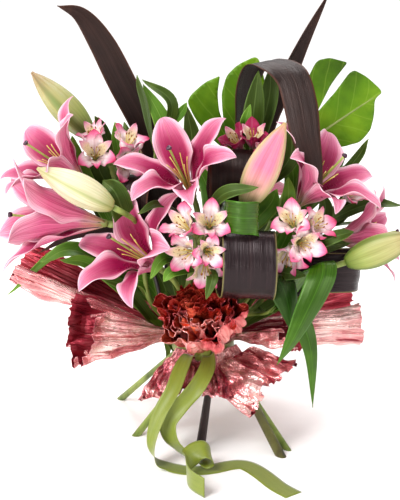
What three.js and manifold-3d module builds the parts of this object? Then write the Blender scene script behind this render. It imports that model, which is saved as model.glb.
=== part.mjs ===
// A hand-tied mixed bouquet that stands on its own cut stems: pink oriental lilies, alstroemeria, split
// philodendron-like leaves, dark strap leaves (some rolled into loops), green strap leaves, a collar of
// pleated foil fans and a satin ribbon. Millimetres, +Z up, X to the right and Y to the back of the bouquet.
import * as THREE from "three";
import { mergeVertices } from "three/addons/utils/BufferGeometryUtils.js";
import Module from "manifold-3d";

const wasm = await Module();
wasm.setup();

// Driving dimensions
const CLEARANCE = 0.3; // gap kept between two neighbouring pieces
const SLIVER = 0.08; // detail smaller than this is merged away
const TIE_HEIGHT = 115; // where the stems cross and are bound
const TWIST_LENGTH = 23; // rise in which a spiralled stem moves sideways by its own distance from the axis
const BUNDLE_RADIUS = 30; // of all the stems together at the tie
const TWINE = { inner: 30.3, wall: 2.4, halfHeight: 6, turns: 2 };
const RIBBON = { width: 25, thickness: 0.8, bandRadius: 38.6, bandHalfHeight: 8 };
const PETAL_THICKNESS = 1.3;
const LEAF_THICKNESS = 1.4;
const FOIL_THICKNESS = 1.2;
const FOIL_NECK_RADIUS = 36.9; // the gathered foil lies between the twine and the ribbon

const UP = new THREE.Vector3(0, 0, 1);
const COLOUR = {
  stem: "#5f7d2e",
  leaf: "#3f6a22",
  lily: "#e58aa8",
  pistil: "#a9b65a",
  bud: "#c9cf8f",
  openingBud: "#e3a0a4",
  alstroemeria: "#eab9c6",
  darkLeaf: "#3a2a2c",
  splitLeaf: "#5c8a1c",
  strapLeaf: "#2f6a16",
  foil: "#c27d84",
  rosette: "#8f2b2c",
  twine: "#b59a62",
  ribbon: "#98a23c",
};

// Vectors and paths
const vec = (a) => new THREE.Vector3(...a);
const unit = (a) => vec(a).normalize();
const radians = THREE.MathUtils.degToRad;
const steps = (count) => Array.from({ length: count + 1 }, (_, i) => i / count);

function bezier(a, b, c, d, count) {
  const curve = new THREE.CubicBezierCurve3(a, b, c, d);
  return steps(count).map((t) => curve.getPoint(t));
}

function smooth(points, count) {
  const curve = new THREE.CatmullRomCurve3(points, false, "catmullrom", 0.5);
  return steps(count).map((t) => curve.getPoint(t));
}

function tangentAt(path, i) {
  const before = path[Math.max(i - 1, 0)];
  const after = path[Math.min(i + 1, path.length - 1)];
  return after.clone().sub(before).normalize();
}

// A point at a share of the length of a path of straight stretches.
function pointAlong(path, share) {
  const lengths = path.slice(1).map((p, i) => p.distanceTo(path[i]));
  let left = share * lengths.reduce((a, b) => a + b, 0);
  for (let i = 0; i < lengths.length; i++) {
    if (left <= lengths[i]) return path[i].clone().lerp(path[i + 1], left / lengths[i]);
    left -= lengths[i];
  }
  return path.at(-1).clone();
}

// A direction along a list of directions, at a share of its length.
function directionAt(list, share) {
  const place = share * (list.length - 1);
  const i = Math.min(Math.floor(place), list.length - 2);
  return vec(list[i]).lerp(vec(list[i + 1]), place - i);
}

// Solids

// Closed surface through rings of the same even number of points. A ring runs along one face and back along
// the other, and both faces are split along the same diagonals.
function loft(rings) {
  const count = rings[0].length;
  const last = (rings.length - 1) * count;
  const faces = [];
  for (let r = 0; r + 1 < rings.length; r++) {
    for (let i = 0; i < count; i++) {
      const next = (i + 1) % count;
      const [a, b] = [r * count + i, r * count + next];
      const [c, d] = [b + count, a + count];
      if (i < count / 2) faces.push([a, b, c], [a, c, d]);
      else faces.push([a, b, d], [b, c, d]);
    }
  }
  for (let i = 0; i < count / 2 - 1; i++) {
    const [a, b, c, d] = [i, i + 1, count - 2 - i, count - 1 - i];
    faces.push([b, a, d], [b, d, c]);
    faces.push([last + a, last + b, last + c], [last + a, last + c, last + d]);
  }
  return solidFrom(rings.flat(), faces);
}

function solidFrom(points, faces) {
  const geometry = new THREE.BufferGeometry();
  const numbers = points.flatMap((p) => [p.x, p.y, p.z]);
  geometry.setAttribute("position", new THREE.Float32BufferAttribute(numbers, 3));
  geometry.setIndex(faces.flat());
  return solidOf(geometry);
}

function solidOf(geometry) {
  const bare = new THREE.BufferGeometry();
  bare.setAttribute("position", geometry.getAttribute("position"));
  bare.setIndex(geometry.index);
  const merged = mergeVertices(bare, 1e-4);
  const faces = [];
  for (let i = 0; i < merged.index.count; i += 3) {
    const [a, b, c] = [0, 1, 2].map((k) => merged.index.getX(i + k));
    if (a !== b && b !== c && c !== a) faces.push([a, b, c]);
  }
  const vertProperties = merged.attributes.position.array;
  const make = (list) =>
    new wasm.Manifold(new wasm.Mesh({ numProp: 3, vertProperties, triVerts: new Uint32Array(list.flat()) }));
  const made = make(faces);
  return made.volume() > 0 ? made : make(faces.map(([a, b, c]) => [a, c, b]));
}

const join = (solids) => solids.reduce((a, b) => a.add(b));

// A round rod along a path. radii has one number a station, or is one number for all.
function rod(path, radii, sides, grow) {
  const rings = [];
  let side = null;
  path.forEach((p, i) => {
    const along = tangentAt(path, i);
    if (!side) side = new THREE.Vector3(1, 0.3, 0.1).cross(along).normalize();
    side = side.clone().addScaledVector(along, -side.dot(along)).normalize();
    const other = along.clone().cross(side);
    const end = i === 0 ? -grow : i === path.length - 1 ? grow : 0;
    const centre = p.clone().addScaledVector(along, end);
    const radius = (Array.isArray(radii) ? radii[i] : radii) + grow;
    const ring = Array.from({ length: sides }, (_, k) => {
      const angle = (2 * Math.PI * (k + 0.5)) / sides;
      const out = side.clone().multiplyScalar(Math.cos(angle)).addScaledVector(other, Math.sin(angle));
      return centre.clone().addScaledVector(out, radius);
    });
    rings.push(ring);
  });
  return loft(rings);
}

// A thin blade along a path. sides are the directions of its width, halves its half widths, and lift(s, t) raises
// the point at share s across (-1 to 1) and share t along, in half widths, towards side x path.
function blade(path, sides, halves, { thickness, edge = 0, columns = 3, lift = () => 0, pointed = false }, grow) {
  const rings = path.map((p, i) => {
    if (pointed && grow === 0 && i === path.length - 1) return Array(2 * columns).fill(p);
    const along = tangentAt(path, i);
    const side = sides[i].clone().addScaledVector(along, -sides[i].dot(along)).normalize();
    const normal = side.clone().cross(along);
    const end = i === 0 ? -grow : i === path.length - 1 ? grow : 0;
    const centre = p.clone().addScaledVector(along, end);
    const half = halves[i];
    const face = (s, way) => {
      const across = s * (half + grow);
      const high = lift(s, i / (path.length - 1)) * half;
      const thick = edge + (thickness - edge) * (1 - Math.abs(s)) + 2 * grow;
      return centre.clone().addScaledVector(side, across).addScaledVector(normal, high + (way * thick) / 2);
    };
    const shares = steps(columns - 1).map((t) => 2 * t - 1);
    return [...shares.map((s) => face(s, 1)), ...shares.toReversed().map((s) => face(s, -1))];
  });
  return loft(rings);
}

// Half width along a leaf or petal, as a share of the largest: p puts the widest place, q rounds the ends, and
// foot is the width at the start.
const outline = (t, p, q, foot) => {
  const belly = Math.sin(Math.PI * Math.min(t, 0.999) ** p) ** q;
  return Math.max(belly, foot * (1 - t), 0.02);
};

// Strap leaf: narrow at the foot, parallel-sided, then pointed.
const strapOutline = (t, from, taper) => {
  const rise = Math.min(1, 0.12 + (0.88 * Math.max(t - from, 0)) / 0.2);
  const point = t > taper ? Math.max(1 - ((t - taper) / (1 - taper)) ** 1.8, 0.03) : 1;
  return Math.min(rise, point);
};

// Stems

// Where a stem that crosses the tie at [radius, angle] is at a height: stems lie on straight lines that all
// lean the same way round, so that no two of them meet.
function spiralPoint([radius, angle], height) {
  const turn = (height - TIE_HEIGHT) / TWIST_LENGTH;
  const x = radius * Math.cos(radians(angle));
  const y = radius * Math.sin(radians(angle));
  return new THREE.Vector3(x - turn * y, y + turn * x, height);
}

// Straight through the tie, then bent over to its end.
function stalkPath({ tie, foot = 0, footAt, leave = 160, end, way, bend = 0.38 }, count) {
  const from = spiralPoint(tie, leave);
  const along = from.clone().sub(spiralPoint(tie, TIE_HEIGHT)).normalize();
  const to = vec(end);
  const reach = from.distanceTo(to) * bend;
  const curve = bezier(
    from,
    from.clone().addScaledVector(along, reach),
    to.clone().addScaledVector(unit(way), -reach),
    to,
    count,
  );
  const atTie = spiralPoint(tie, TIE_HEIGHT);
  const below = footAt ? atTie.clone().lerp(vec([...footAt, 0]), (TIE_HEIGHT - foot + 10) / TIE_HEIGHT) : null;
  return [below ?? spiralPoint(tie, foot - 10), atTie, ...curve];
}

function stalk(spec, grow) {
  const path = stalkPath(spec, spec.bends ?? 4);
  const { radius, top = radius * 0.75, thickFoot = radius * 1.1 } = spec; // core: a thick base in the tie
  const radii = path.map((_, i) => {
    if (i < 2) return i === 0 ? thickFoot : (spec.core ?? radius);
    return THREE.MathUtils.lerp(radius, top, (i - 2) / (path.length - 3));
  });
  const whole = rod(path, radii, spec.sides ?? 6, grow);
  return whole.trimByPlane([0, 0, 1], (spec.foot ?? 0) - grow);
}

// A leaf from a share of a stem's path, through one point, to its tip.
function leafOn(host, { at, via, to, half, face = [0, -1, 0.4] }, grow) {
  const path = smooth([pointAlong(host, at), vec(via), vec(to)], 3);
  const sides = path.map((_, i) => unit(face).cross(tangentAt(path, i)).negate());
  const halves = steps(3).map((t) => half * outline(t, 1.05, 0.8, 0.2));
  const lift = (s) => 0.25 * Math.abs(s);
  return blade(path, sides, halves, { thickness: LEAF_THICKNESS, lift, pointed: true }, grow);
}

function branch(host, { at, end, way, radius, bend = 0.45 }, grow) {
  const from = pointAlong(host, at);
  const to = vec(end);
  const reach = from.distanceTo(to) * bend;
  const start = to.clone().sub(from).normalize().lerp(UP, 0.5).normalize();
  const path = bezier(
    from,
    from.clone().addScaledVector(start, reach),
    to.clone().addScaledVector(unit(way), -reach),
    to,
    3,
  );
  return rod(path, [radius * 0.8, radius * 0.8, radius * 0.9, radius * 1.2], 6, grow);
}

// Flowers

// The two directions across a flower that faces a way: level to the right, and up.
function across(facing) {
  const right = UP.clone().cross(facing).normalize();
  return [right, facing.clone().cross(right)];
}

// A petal's path: it leaves the base at an angle of `funnel` from the flower's axis, and from a share `turn` of its
// length bends to `flare`.
function petalPath({ base, facing, spin, length, funnel, flare, turn, start = 2 }, count) {
  const axis = unit(facing);
  const [right, up] = across(axis);
  const angle = radians(spin);
  const out = right.multiplyScalar(Math.cos(angle)).addScaledVector(up, Math.sin(angle));
  const fine = 6;
  const path = [vec(base).addScaledVector(out, start)];
  for (let i = 0; i < count * fine; i++) {
    const t = (i + 0.5) / (count * fine);
    const bent = Math.max((t - turn) / (1 - turn), 0) ** 1.3;
    const lean = radians(funnel + (flare - funnel) * bent);
    const step = length / (count * fine);
    const p = path.at(-1).clone();
    path.push(p.addScaledVector(axis, step * Math.cos(lean)).addScaledVector(out, step * Math.sin(lean)));
  }
  return { path: path.filter((_, i) => i % fine === 0), side: axis.clone().cross(out) };
}

// Half widths of a petal. Near the base it stays narrow enough to leave room for the petals beside it.
function petalHalves(spec, path, count) {
  const axis = unit(spec.facing);
  return path.map((p, i) => {
    const t = i / count;
    const fromBase = p.clone().sub(vec(spec.base));
    const away = fromBase.addScaledVector(axis, -fromBase.dot(axis)).length();
    const room = spec.tight ? Infinity : away * (0.5 + 1.3 * Math.max(t - 0.22, 0));
    return Math.min(spec.half * outline(t, spec.p, spec.q, 0.1), room);
  });
}

function petal(spec, count, grow) {
  const { path, side } = petalPath(spec, count);
  const halves = petalHalves(spec, path, count);
  const lift = (s, t) => -spec.cup * (1 - 0.5 * t) * Math.abs(s);
  return blade(path, path.map(() => side), halves, { thickness: PETAL_THICKNESS, lift }, grow);
}

// A flower as one closed surface: a six-sided hub, and on each of its sides a petal that ends in a point.
function flower({ hub, petals }, grow) {
  const axis = unit(hub.facing);
  const [right, up] = across(axis);
  const corner = (k, along, radius) => {
    const angle = radians(hub.spin + 60 * k - 30);
    return vec(hub.base)
      .addScaledVector(axis, along)
      .addScaledVector(right, radius * Math.cos(angle))
      .addScaledVector(up, radius * Math.sin(angle));
  };
  if (grow > 0) {
    const path = [hub.from, hub.to].map((d) => vec(hub.base).addScaledVector(axis, d));
    return join([rod(path, [hub.radius, hub.radius], 6, grow), ...petals.map((p) => petal(p, p.count, grow))]);
  }
  const points = [];
  const faces = [];
  for (let k = 0; k < 6; k++) points.push(corner(k, hub.from, hub.radius * 0.8), corner(k, hub.to, hub.radius));
  faces.push([0, 4, 2], [0, 6, 4], [0, 8, 6], [0, 10, 8], [1, 3, 5], [1, 5, 7], [1, 7, 9], [1, 9, 11]);
  petals.forEach((spec, k) => {
    const next = (k + 1) % 6;
    const { path, side } = petalPath(spec, spec.count);
    const halves = petalHalves(spec, path, spec.count);
    const [lowLeft, highLeft, lowRight, highRight] = [2 * k, 2 * k + 1, 2 * next, 2 * next + 1];
    let before = null;
    for (let i = 1; i < path.length - 1; i++) {
      const t = i / spec.count;
      const along = tangentAt(path, i);
      const outwards = side.clone().cross(along);
      const rise = outwards.clone().multiplyScalar(-spec.cup * (1 - 0.5 * t) * halves[i]);
      const left = path[i].clone().addScaledVector(side, -halves[i]).add(rise);
      const rightEdge = path[i].clone().addScaledVector(side, halves[i]).add(rise);
      const inner = path[i].clone().addScaledVector(outwards, -PETAL_THICKNESS / 2);
      const outer = path[i].clone().addScaledVector(outwards, PETAL_THICKNESS / 2);
      const n = points.length;
      points.push(left, inner, rightEdge, outer);
      const [l, a, r, b] = [n, n + 1, n + 2, n + 3];
      if (before === null) {
        faces.push([highLeft, a, highRight], [highRight, a, r], [highRight, r, lowRight], [lowRight, r, b]);
        faces.push([lowRight, b, lowLeft], [lowLeft, b, l], [lowLeft, l, highLeft], [highLeft, l, a]);
      } else {
        const ring = [before, before + 1, before + 2, before + 3];
        const now = [l, a, r, b];
        ring.forEach((v, j) => {
          const w = ring[(j + 1) % 4];
          const [x, y] = [now[j], now[(j + 1) % 4]];
          if (j < 2) faces.push([v, x, y], [v, y, w]);
          else faces.push([v, x, w], [w, x, y]);
        });
      }
      before = n;
    }
    const tip = points.length;
    points.push(path.at(-1));
    for (let j = 0; j < 4; j++) faces.push([before + j, tip, before + ((j + 1) % 4)]);
  });
  return solidFrom(points, faces);
}

function lilyBloom(lily, grow) {
  const petals = [0, 1, 2, 3, 4, 5].map((k) => {
    const inner = k % 2 === 0;
    return {
      ...lily,
      half: (inner ? 0.205 : 0.15) * lily.length,
      p: 1.2,
      q: 0.85,
      start: inner ? 4 : 5,
      cup: 0.45,
      spin: lily.spin + 60 * k,
      funnel: (lily.funnel ?? 24) + (inner ? 0 : 6),
      flare: lily.flare + (inner ? 0 : 6),
      turn: 0.2,
      count: 5,
      ...lily.own?.[k],
    };
  });
  const hub = { base: lily.base, facing: lily.facing, spin: lily.spin, from: -HUB_BELOW, to: 6, radius: 6 };
  return flower({ hub, petals }, grow);
}

function lilyPistil(lily, grow) {
  const axis = unit(lily.facing);
  const reach = lily.pistil ?? 0.86 * lily.length;
  const place = (along) => vec(lily.base).addScaledVector(axis, along).addScaledVector(UP, (-6 * along) / reach);
  const filament = {
    base: vec(lily.base).addScaledVector(axis, 8).toArray(),
    facing: lily.facing,
    length: 0.58 * reach,
    half: 1,
    p: 1,
    q: 0.2,
    cup: 0,
    funnel: 8,
    flare: 22,
    turn: 0.4,
    start: 2.2,
    count: 2,
    tight: true,
  };
  const petals = [0, 1, 2, 3, 4, 5].map((k) => ({ ...filament, spin: lily.spin + 60 * k + 30 }));
  const hub = { base: filament.base, facing: lily.facing, spin: lily.spin + 30, from: -1.3, to: 3, radius: 2.6 };
  const style = [9, 0.5 * reach, 0.93 * reach, 0.97 * reach, reach].map(place);
  return join([flower({ hub, petals }, grow), rod(style, [1.7, 1.4, 1.3, 3.8, 2.6], 6, grow)]);
}

function bud({ base, facing, length, half, ridge = 0.09 }, grow) {
  const axis = unit(facing);
  const [right, up] = across(axis);
  const sides = 12;
  const shares = [0, 0.14, 0.38, 0.65, 0.87, 1];
  const rings = shares.map((t) => {
    const end = t === 0 ? -grow : t === 1 ? grow : 0;
    const centre = vec(base).addScaledVector(axis, t * length + end);
    const belly = Math.max(Math.sin(Math.PI * (0.06 + 0.94 * t) ** 0.85) ** 0.75, 0.1);
    return Array.from({ length: sides }, (_, k) => {
      const angle = (2 * Math.PI * (k + 0.5)) / sides;
      const radius = half * belly * (1 + ridge * Math.cos(3 * angle)) + grow;
      return centre
        .clone()
        .addScaledVector(right, radius * Math.cos(angle))
        .addScaledVector(up, radius * Math.sin(angle));
    });
  });
  return loft(rings);
}

// Alstroemeria floret: three broad outer petals and three narrower inner ones, on a green knob.
function floret({ mouth, facing, spin = 0, length = 40, flare = 62 }, grow) {
  const base = vec(mouth).addScaledVector(unit(facing), -0.72 * length).toArray();
  const petals = [0, 1, 2, 3, 4, 5].map((k) => {
    const outer = k % 2 === 0;
    return {
      base,
      facing,
      spin: spin + 60 * k + 90,
      length: outer ? length : 0.98 * length,
      half: (outer ? 0.25 : 0.16) * length,
      p: outer ? 1.5 : 1.2,
      q: 0.8,
      cup: 0.3,
      funnel: outer ? 26 : 20,
      flare: outer ? flare : flare - 10,
      turn: 0.3,
      start: 2.5,
      count: 2,
    };
  });
  return flower({ hub: { base, facing, spin: spin + 90, from: -5, to: 3, radius: 3.2 }, petals }, grow);
}

function floretStalk(from, { mouth, facing, length = 40 }, grow) {
  const to = vec(mouth).addScaledVector(unit(facing), -0.72 * length);
  return rod([from, to], 1.5, 4, grow);
}

function spray(spec, grow) {
  const path = stalkPath(spec.stalk, 4);
  const top = path.at(-1);
  return join([
    stalk(spec.stalk, grow),
    ...spec.florets.flatMap((f) => [floretStalk(top, f, grow), floret(f, grow)]),
    ...(spec.leaves ?? []).map((l) => leafOn(path, l, grow)),
  ]);
}

function leafyStem(spec, grow) {
  const path = stalkPath(spec.stalk, 6);
  return join([
    stalk({ ...spec.stalk, bends: 6 }, grow),
    ...(spec.branches ?? []).map((b) => branch(path, b, grow)),
    ...(spec.leaves ?? []).map((l) => leafOn(path, l, grow)),
  ]);
}

// Leaves that are cut on their own: a stalk through the tie, running into a blade.
function longLeaf(spec, grow) {
  const { via, half, sides, from = 0, taper = 0.75, fold = 0.12, count = 7, outlineOf } = spec;
  const start = vec(spec.stalk.end);
  const lead = start.clone().addScaledVector(unit(spec.stalk.way), -12);
  const path = smooth([lead, start, ...via.map(vec)], count);
  const widths = steps(count).map((t) => half * (outlineOf ?? strapOutline)(t, from, taper));
  const directions = steps(count).map((t) => directionAt(sides, t));
  const lift = (s) => fold * Math.abs(s);
  return join([
    stalk({ sides: 4, bends: 3, ...spec.stalk }, grow),
    blade(path, directions, widths, { thickness: LEAF_THICKNESS, lift, pointed: taper < 1 }, grow),
  ]);
}

// Split leaf: its outline as [x, z] seen from the front, at a depth, bowed back from its foot to its margins.
function splitLeaf({ foot, margin, depth, droop, tip, stalk: stalkSpec }, grow) {
  const shape = new THREE.Shape(margin.map(([x, z]) => new THREE.Vector2(x - foot[0], z - foot[1])));
  const thickness = LEAF_THICKNESS + 2 * grow;
  const geometry = new THREE.ExtrudeGeometry(shape, { depth: thickness, bevelEnabled: false, steps: 1 });
  const bow = (u, v) => depth + 0.12 * v - droop * (Math.hypot(u, v) / 100) ** 2;
  const position = geometry.getAttribute("position");
  for (let i = 0; i < position.count; i++) {
    const [u, v, w] = [position.getX(i), position.getY(i), position.getZ(i) - thickness / 2];
    position.setXYZ(i, foot[0] + u, bow(u, v) - w, foot[1] + v);
  }
  const rib = steps(2).map((t) => {
    const [u, v] = [0.9 * t * (tip[0] - foot[0]), 0.9 * t * (tip[1] - foot[1])];
    return new THREE.Vector3(foot[0] + u, bow(u, v), foot[1] + v);
  });
  const nerve = rod([vec(stalkSpec.end).addScaledVector(unit(stalkSpec.way), -3), ...rib], [2.2, 2, 1.4, 0.9], 4, grow);
  return join([stalk({ sides: 4, bends: 3, ...stalkSpec }, grow), solidOf(geometry), nerve]);
}

// Foil

// A gathered fan of pleated foil: a flat neck under the ribbon, bent out and opened into part of a bell. `wrap` is
// how far the bell reaches round from its outer side, `wide` and `deep` its half sizes at the rim.
function foilFan(spec, grow) {
  const { angle, rise, rim, wide, deep, wrap, pleats, phase, nested = false, turn = 0 } = spec;
  const out = new THREE.Vector3(Math.cos(radians(angle)), Math.sin(radians(angle)), 0);
  const level = UP.clone().cross(out);
  const neck = (radius, height) => out.clone().multiplyScalar(radius).addScaledVector(UP, TIE_HEIGHT + rise * height);
  const bend = nested ? neck(54, 36) : neck(rise > 0 ? 58 : 48, rise > 0 ? 25 : 20);
  const start = nested ? [neck(46, 26)] : [neck(FOIL_NECK_RADIUS, 1), neck(FOIL_NECK_RADIUS, 10.5)];
  const middle = bend.clone().lerp(vec(rim), 0.5);
  const path = [...start, bend, middle, vec(rim)];
  const opens = spec.opens ?? (nested ? [0.06, 0.25, 0.6, 1] : [0, 0, 0.18, 0.6, 1]);
  const columns = 2 * pleats + 1;
  const rings = path.map((p, i) => {
    const open = opens[i];
    const along = tangentAt(path, i);
    const side = level.clone().addScaledVector(along, -level.dot(along)).normalize();
    side.applyAxisAngle(along, radians(turn) * open);
    const below = side.clone().cross(along).normalize();
    if (rise > 0 ? below.dot(UP) > 0 : below.dot(out) < 0) below.negate();
    if (i < start.length && !nested) below.copy(out);
    const halfWide = THREE.MathUtils.lerp(8, wide, open);
    const halfDeep = THREE.MathUtils.lerp(0.4, deep, open);
    const end = i === 0 ? -grow : i === path.length - 1 ? grow : 0;
    const centre = p.clone().addScaledVector(along, end);
    const face = (k, layer) => {
      const s = (2 * k) / (columns - 1) - 1;
      const beta = radians(wrap) * s * (1 + grow / (halfWide + halfDeep));
      const pleat = (k % 2 ? 1 : -1) * (0.3 + 4 * open) + 2 * open * Math.sin(5 * s + phase);
      const radial = side.clone().multiplyScalar(Math.sin(beta)).addScaledVector(below, Math.cos(beta));
      return centre
        .clone()
        .addScaledVector(side, (halfWide + 0.6 * pleat) * Math.sin(beta))
        .addScaledVector(below, (halfDeep + pleat) * Math.cos(beta))
        .addScaledVector(radial, (FOIL_THICKNESS / 2 + grow) * layer);
    };
    const order = Array.from({ length: columns }, (_, k) => k);
    return [...order.map((k) => face(k, 1)), ...order.toReversed().map((k) => face(k, -1))];
  });
  return loft(rings);
}

// Binding

function twine(grow) {
  const { inner, wall, halfHeight, turns } = TWINE;
  const swell = (height) => Math.hypot(1, (height - TIE_HEIGHT) / TWIST_LENGTH);
  const levels = [1, 0, -1].map((way) => TIE_HEIGHT + way * (halfHeight + grow));
  const profile = levels.map((height) => new THREE.Vector2(inner * swell(height) - grow, height));
  for (let i = 0; i <= 2 * turns; i++) {
    const height = levels[2] + ((halfHeight + grow) * i) / turns;
    const bulge = i % 2 ? wall : wall - 0.8;
    profile.push(new THREE.Vector2(inner * swell(height) + bulge + grow, height));
  }
  profile.push(profile[0]);
  return solidOf(new THREE.LatheGeometry(profile, 16).rotateX(Math.PI / 2));
}

function ribbon(tails, grow) {
  const { thickness, bandRadius, bandHalfHeight, width } = RIBBON;
  const [inner, outer] = [bandRadius - grow, bandRadius + thickness + grow];
  const [low, high] = [TIE_HEIGHT - bandHalfHeight - grow, TIE_HEIGHT + bandHalfHeight + grow];
  const corners = [
    [inner, high],
    [inner, low],
    [outer, low],
    [outer, high],
    [inner, high],
  ].map(([x, y]) => new THREE.Vector2(x, y));
  const band = solidOf(new THREE.LatheGeometry(corners, 24).rotateX(Math.PI / 2));
  const strips = tails.map(({ points, sides, count }) => {
    const path = smooth(points.map(vec), count);
    const directions = steps(count).map((t) => directionAt(sides, t));
    const halves = path.map(() => width / 2);
    return blade(path, directions, halves, { thickness, edge: thickness, columns: 2 }, grow);
  });
  const knot = rod(
    [vec([-11, -44, TIE_HEIGHT]), vec([0, -45, TIE_HEIGHT]), vec([11, -44, TIE_HEIGHT])],
    [5, 6.5, 5],
    8,
    grow,
  );
  return join([band, knot, ...strips]);
}

// Where each stem crosses the tie: [distance from the axis, angle]. Thick stems and sprays make the outer ring,
// leaf stalks the inner one.
const OUTER = (radius, angle) => [BUNDLE_RADIUS - radius - 0.3, angle];
const INNER = (angle) => [16.4, angle];
const SHORT = 72; // height where stalks that don't reach the surface are cut

const HUB_BELOW = 5; // how far a lily's hub reaches below where its petals part
// Where the stalk of a flower or bud ends, clear of it by the usual gap.
const under = ({ base, facing, spin }) => {
  const reach = 2 * CLEARANCE + (spin === undefined ? 0 : HUB_BELOW);
  return { end: vec(base).addScaledVector(unit(facing), -reach).toArray(), way: facing };
};

const LILIES = {
  left: { base: [-119, -62, 288], facing: [-0.95, -0.22, 0.2], spin: 100, length: 134, funnel: 15, flare: 42 },
  left_upper: { base: [-146, -34, 334], facing: [-0.72, -0.26, 0.64], spin: 50, length: 104, flare: 66 },
  front: { base: [-53, -74, 236], facing: [-0.6, -0.5, 0.62], spin: 10, length: 110, flare: 92 },
  centre: { base: [-13, -54, 320], facing: [-0.3, -0.5, 0.82], spin: 10, length: 106, flare: 84 },
  right: { base: [115, -47, 308], facing: [0.55, -0.3, 0.78], spin: 35, length: 108, flare: 84 },
  right_low: { base: [164, -26, 258], facing: [0.92, -0.14, 0.24], spin: 60, length: 90, flare: 60 },
  back: { base: [45, 95, 268], facing: [0.15, 0.85, 0.5], spin: 90, length: 104, flare: 84 },
};

const BUDS = {
  left_upper: { base: [-138, 14, 378], facing: [-0.68, 0.02, 0.76], length: 106, half: 18 },
  left: { base: [-106, -100, 318], facing: [-0.83, -0.2, 0.5], length: 98, half: 18 },
  right: { base: [169, -90, 248], facing: [0.87, -0.24, 0.44], length: 92, half: 18 },
  opening: { base: [49, -100, 319], facing: [0.4, -0.08, 0.91], length: 108, half: 24, ridge: 0.14 },
};

const LEAFY_STEMS = [
  {
    name: "lily_stem_left",
    stalk: { tie: OUTER(4.8, 112), radius: 4.8, footAt: [72, 80], ...under(BUDS.left_upper) },
    branches: [
      { at: 0.6, ...under(LILIES.left), radius: 3.4 },
      { at: 0.66, ...under(BUDS.left), radius: 3 },
      { at: 0.74, ...under(LILIES.left_upper), radius: 3.4 },
    ],
    leaves: [
      { at: 0.62, via: [-98, -78, 318], to: [-118, -72, 343], half: 14, face: [0, -1, 0.2] },
      { at: 0.52, via: [-150, -15, 270], to: [-221, -40, 246], half: 6 },
      { at: 0.48, via: [-160, 5, 238], to: [-246, -15, 182], half: 6 },
      { at: 0.7, via: [-110, 45, 330], to: [-150, 75, 372], half: 11, face: [0, 1, 0.4] },
      { at: 0.58, via: [-110, 50, 270], to: [-178, 80, 275], half: 11, face: [0, 1, 0.8] },
    ],
  },
  {
    name: "lily_stem_centre",
    stalk: { tie: OUTER(4.8, 179), radius: 4.8, footAt: [-10, 96], ...under(LILIES.centre) },
    branches: [
      { at: 0.66, ...under(LILIES.front), radius: 3.4 },
      { at: 0.84, ...under(BUDS.opening), radius: 3 },
    ],
    leaves: [
      { at: 0.9, via: [-48, -92, 318], to: [-76, -104, 310], half: 7, face: [0, -0.5, 1] },
      { at: 0.88, via: [20, -116, 334], to: [62, -130, 348], half: 9, face: [-0.4, -0.8, 0.5] },
      { at: 0.8, via: [-45, -122, 262], to: [-61, -138, 242], half: 7 },
    ],
  },
  {
    name: "lily_stem_right",
    stalk: { tie: OUTER(4.8, -47), radius: 4.8, foot: 30, ...under(LILIES.right) },
    branches: [
      { at: 0.7, ...under(LILIES.right_low), radius: 3.2 },
      { at: 0.62, ...under(BUDS.right), radius: 3 },
    ],
    leaves: [
      { at: 0.74, via: [190, -4, 292], to: [244, -14, 298], half: 9, face: [0, -0.6, 0.8] },
      { at: 0.8, via: [180, 10, 340], to: [202, 2, 378], half: 6 },
      { at: 0.9, via: [100, -74, 320], to: [100, -66, 345], half: 8 },
    ],
  },
  {
    name: "lily_stem_back",
    stalk: { tie: OUTER(4.8, 28), radius: 4.8, thickFoot: 6.2, footAt: [95, -92], ...under(LILIES.back) },
    leaves: [
      { at: 0.62, via: [-15, 110, 235], to: [-62, 135, 262], half: 12, face: [0, 1, 0.6] },
      { at: 0.7, via: [95, 110, 245], to: [140, 125, 270], half: 12, face: [0, 1, 0.6] },
      { at: 0.8, via: [5, 120, 290], to: [-25, 125, 330], half: 10, face: [0, 1, 0.3] },
    ],
  },
];

const SPRIGS = [
  {
    name: "leaf_sprig_left",
    stalk: { tie: OUTER(2.7, 87), radius: 2.7, foot: SHORT, end: [-62, 18, 385], way: [-0.2, -0.1, 0.95] },
    leaves: [
      { at: 0.93, via: [-70, 8, 420], to: [-80, 2, 456], half: 9, face: [-0.8, -0.6, 0.1] },
      { at: 0.9, via: [-38, 4, 418], to: [-74, 4, 450], half: 8, face: [0.4, -0.8, 0.6] },
      { at: 0.97, via: [-30, 10, 405], to: [-20, 4, 422], half: 6 },
      { at: 0.8, via: [-88, 40, 345], to: [-100, 62, 388], half: 11, face: [0, 1, 0.2] },
    ],
  },
  {
    name: "leaf_sprig_right",
    stalk: { tie: OUTER(2.7, 4), radius: 2.7, foot: SHORT, end: [150, 35, 300], way: [0.5, 0.2, 0.8] },
    leaves: [
      { at: 0.7, via: [165, 45, 255], to: [215, 40, 262], half: 10, face: [0, 0.4, 0.9] },
      { at: 0.85, via: [155, 75, 300], to: [185, 95, 335], half: 11, face: [0, 1, 0.4] },
      { at: 0.99, via: [168, 38, 320], to: [196, 35, 345], half: 8 },
      { at: 0.6, via: [120, 80, 225], to: [170, 105, 222], half: 11, face: [0, 0.8, 0.8] },
    ],
  },
];

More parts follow.
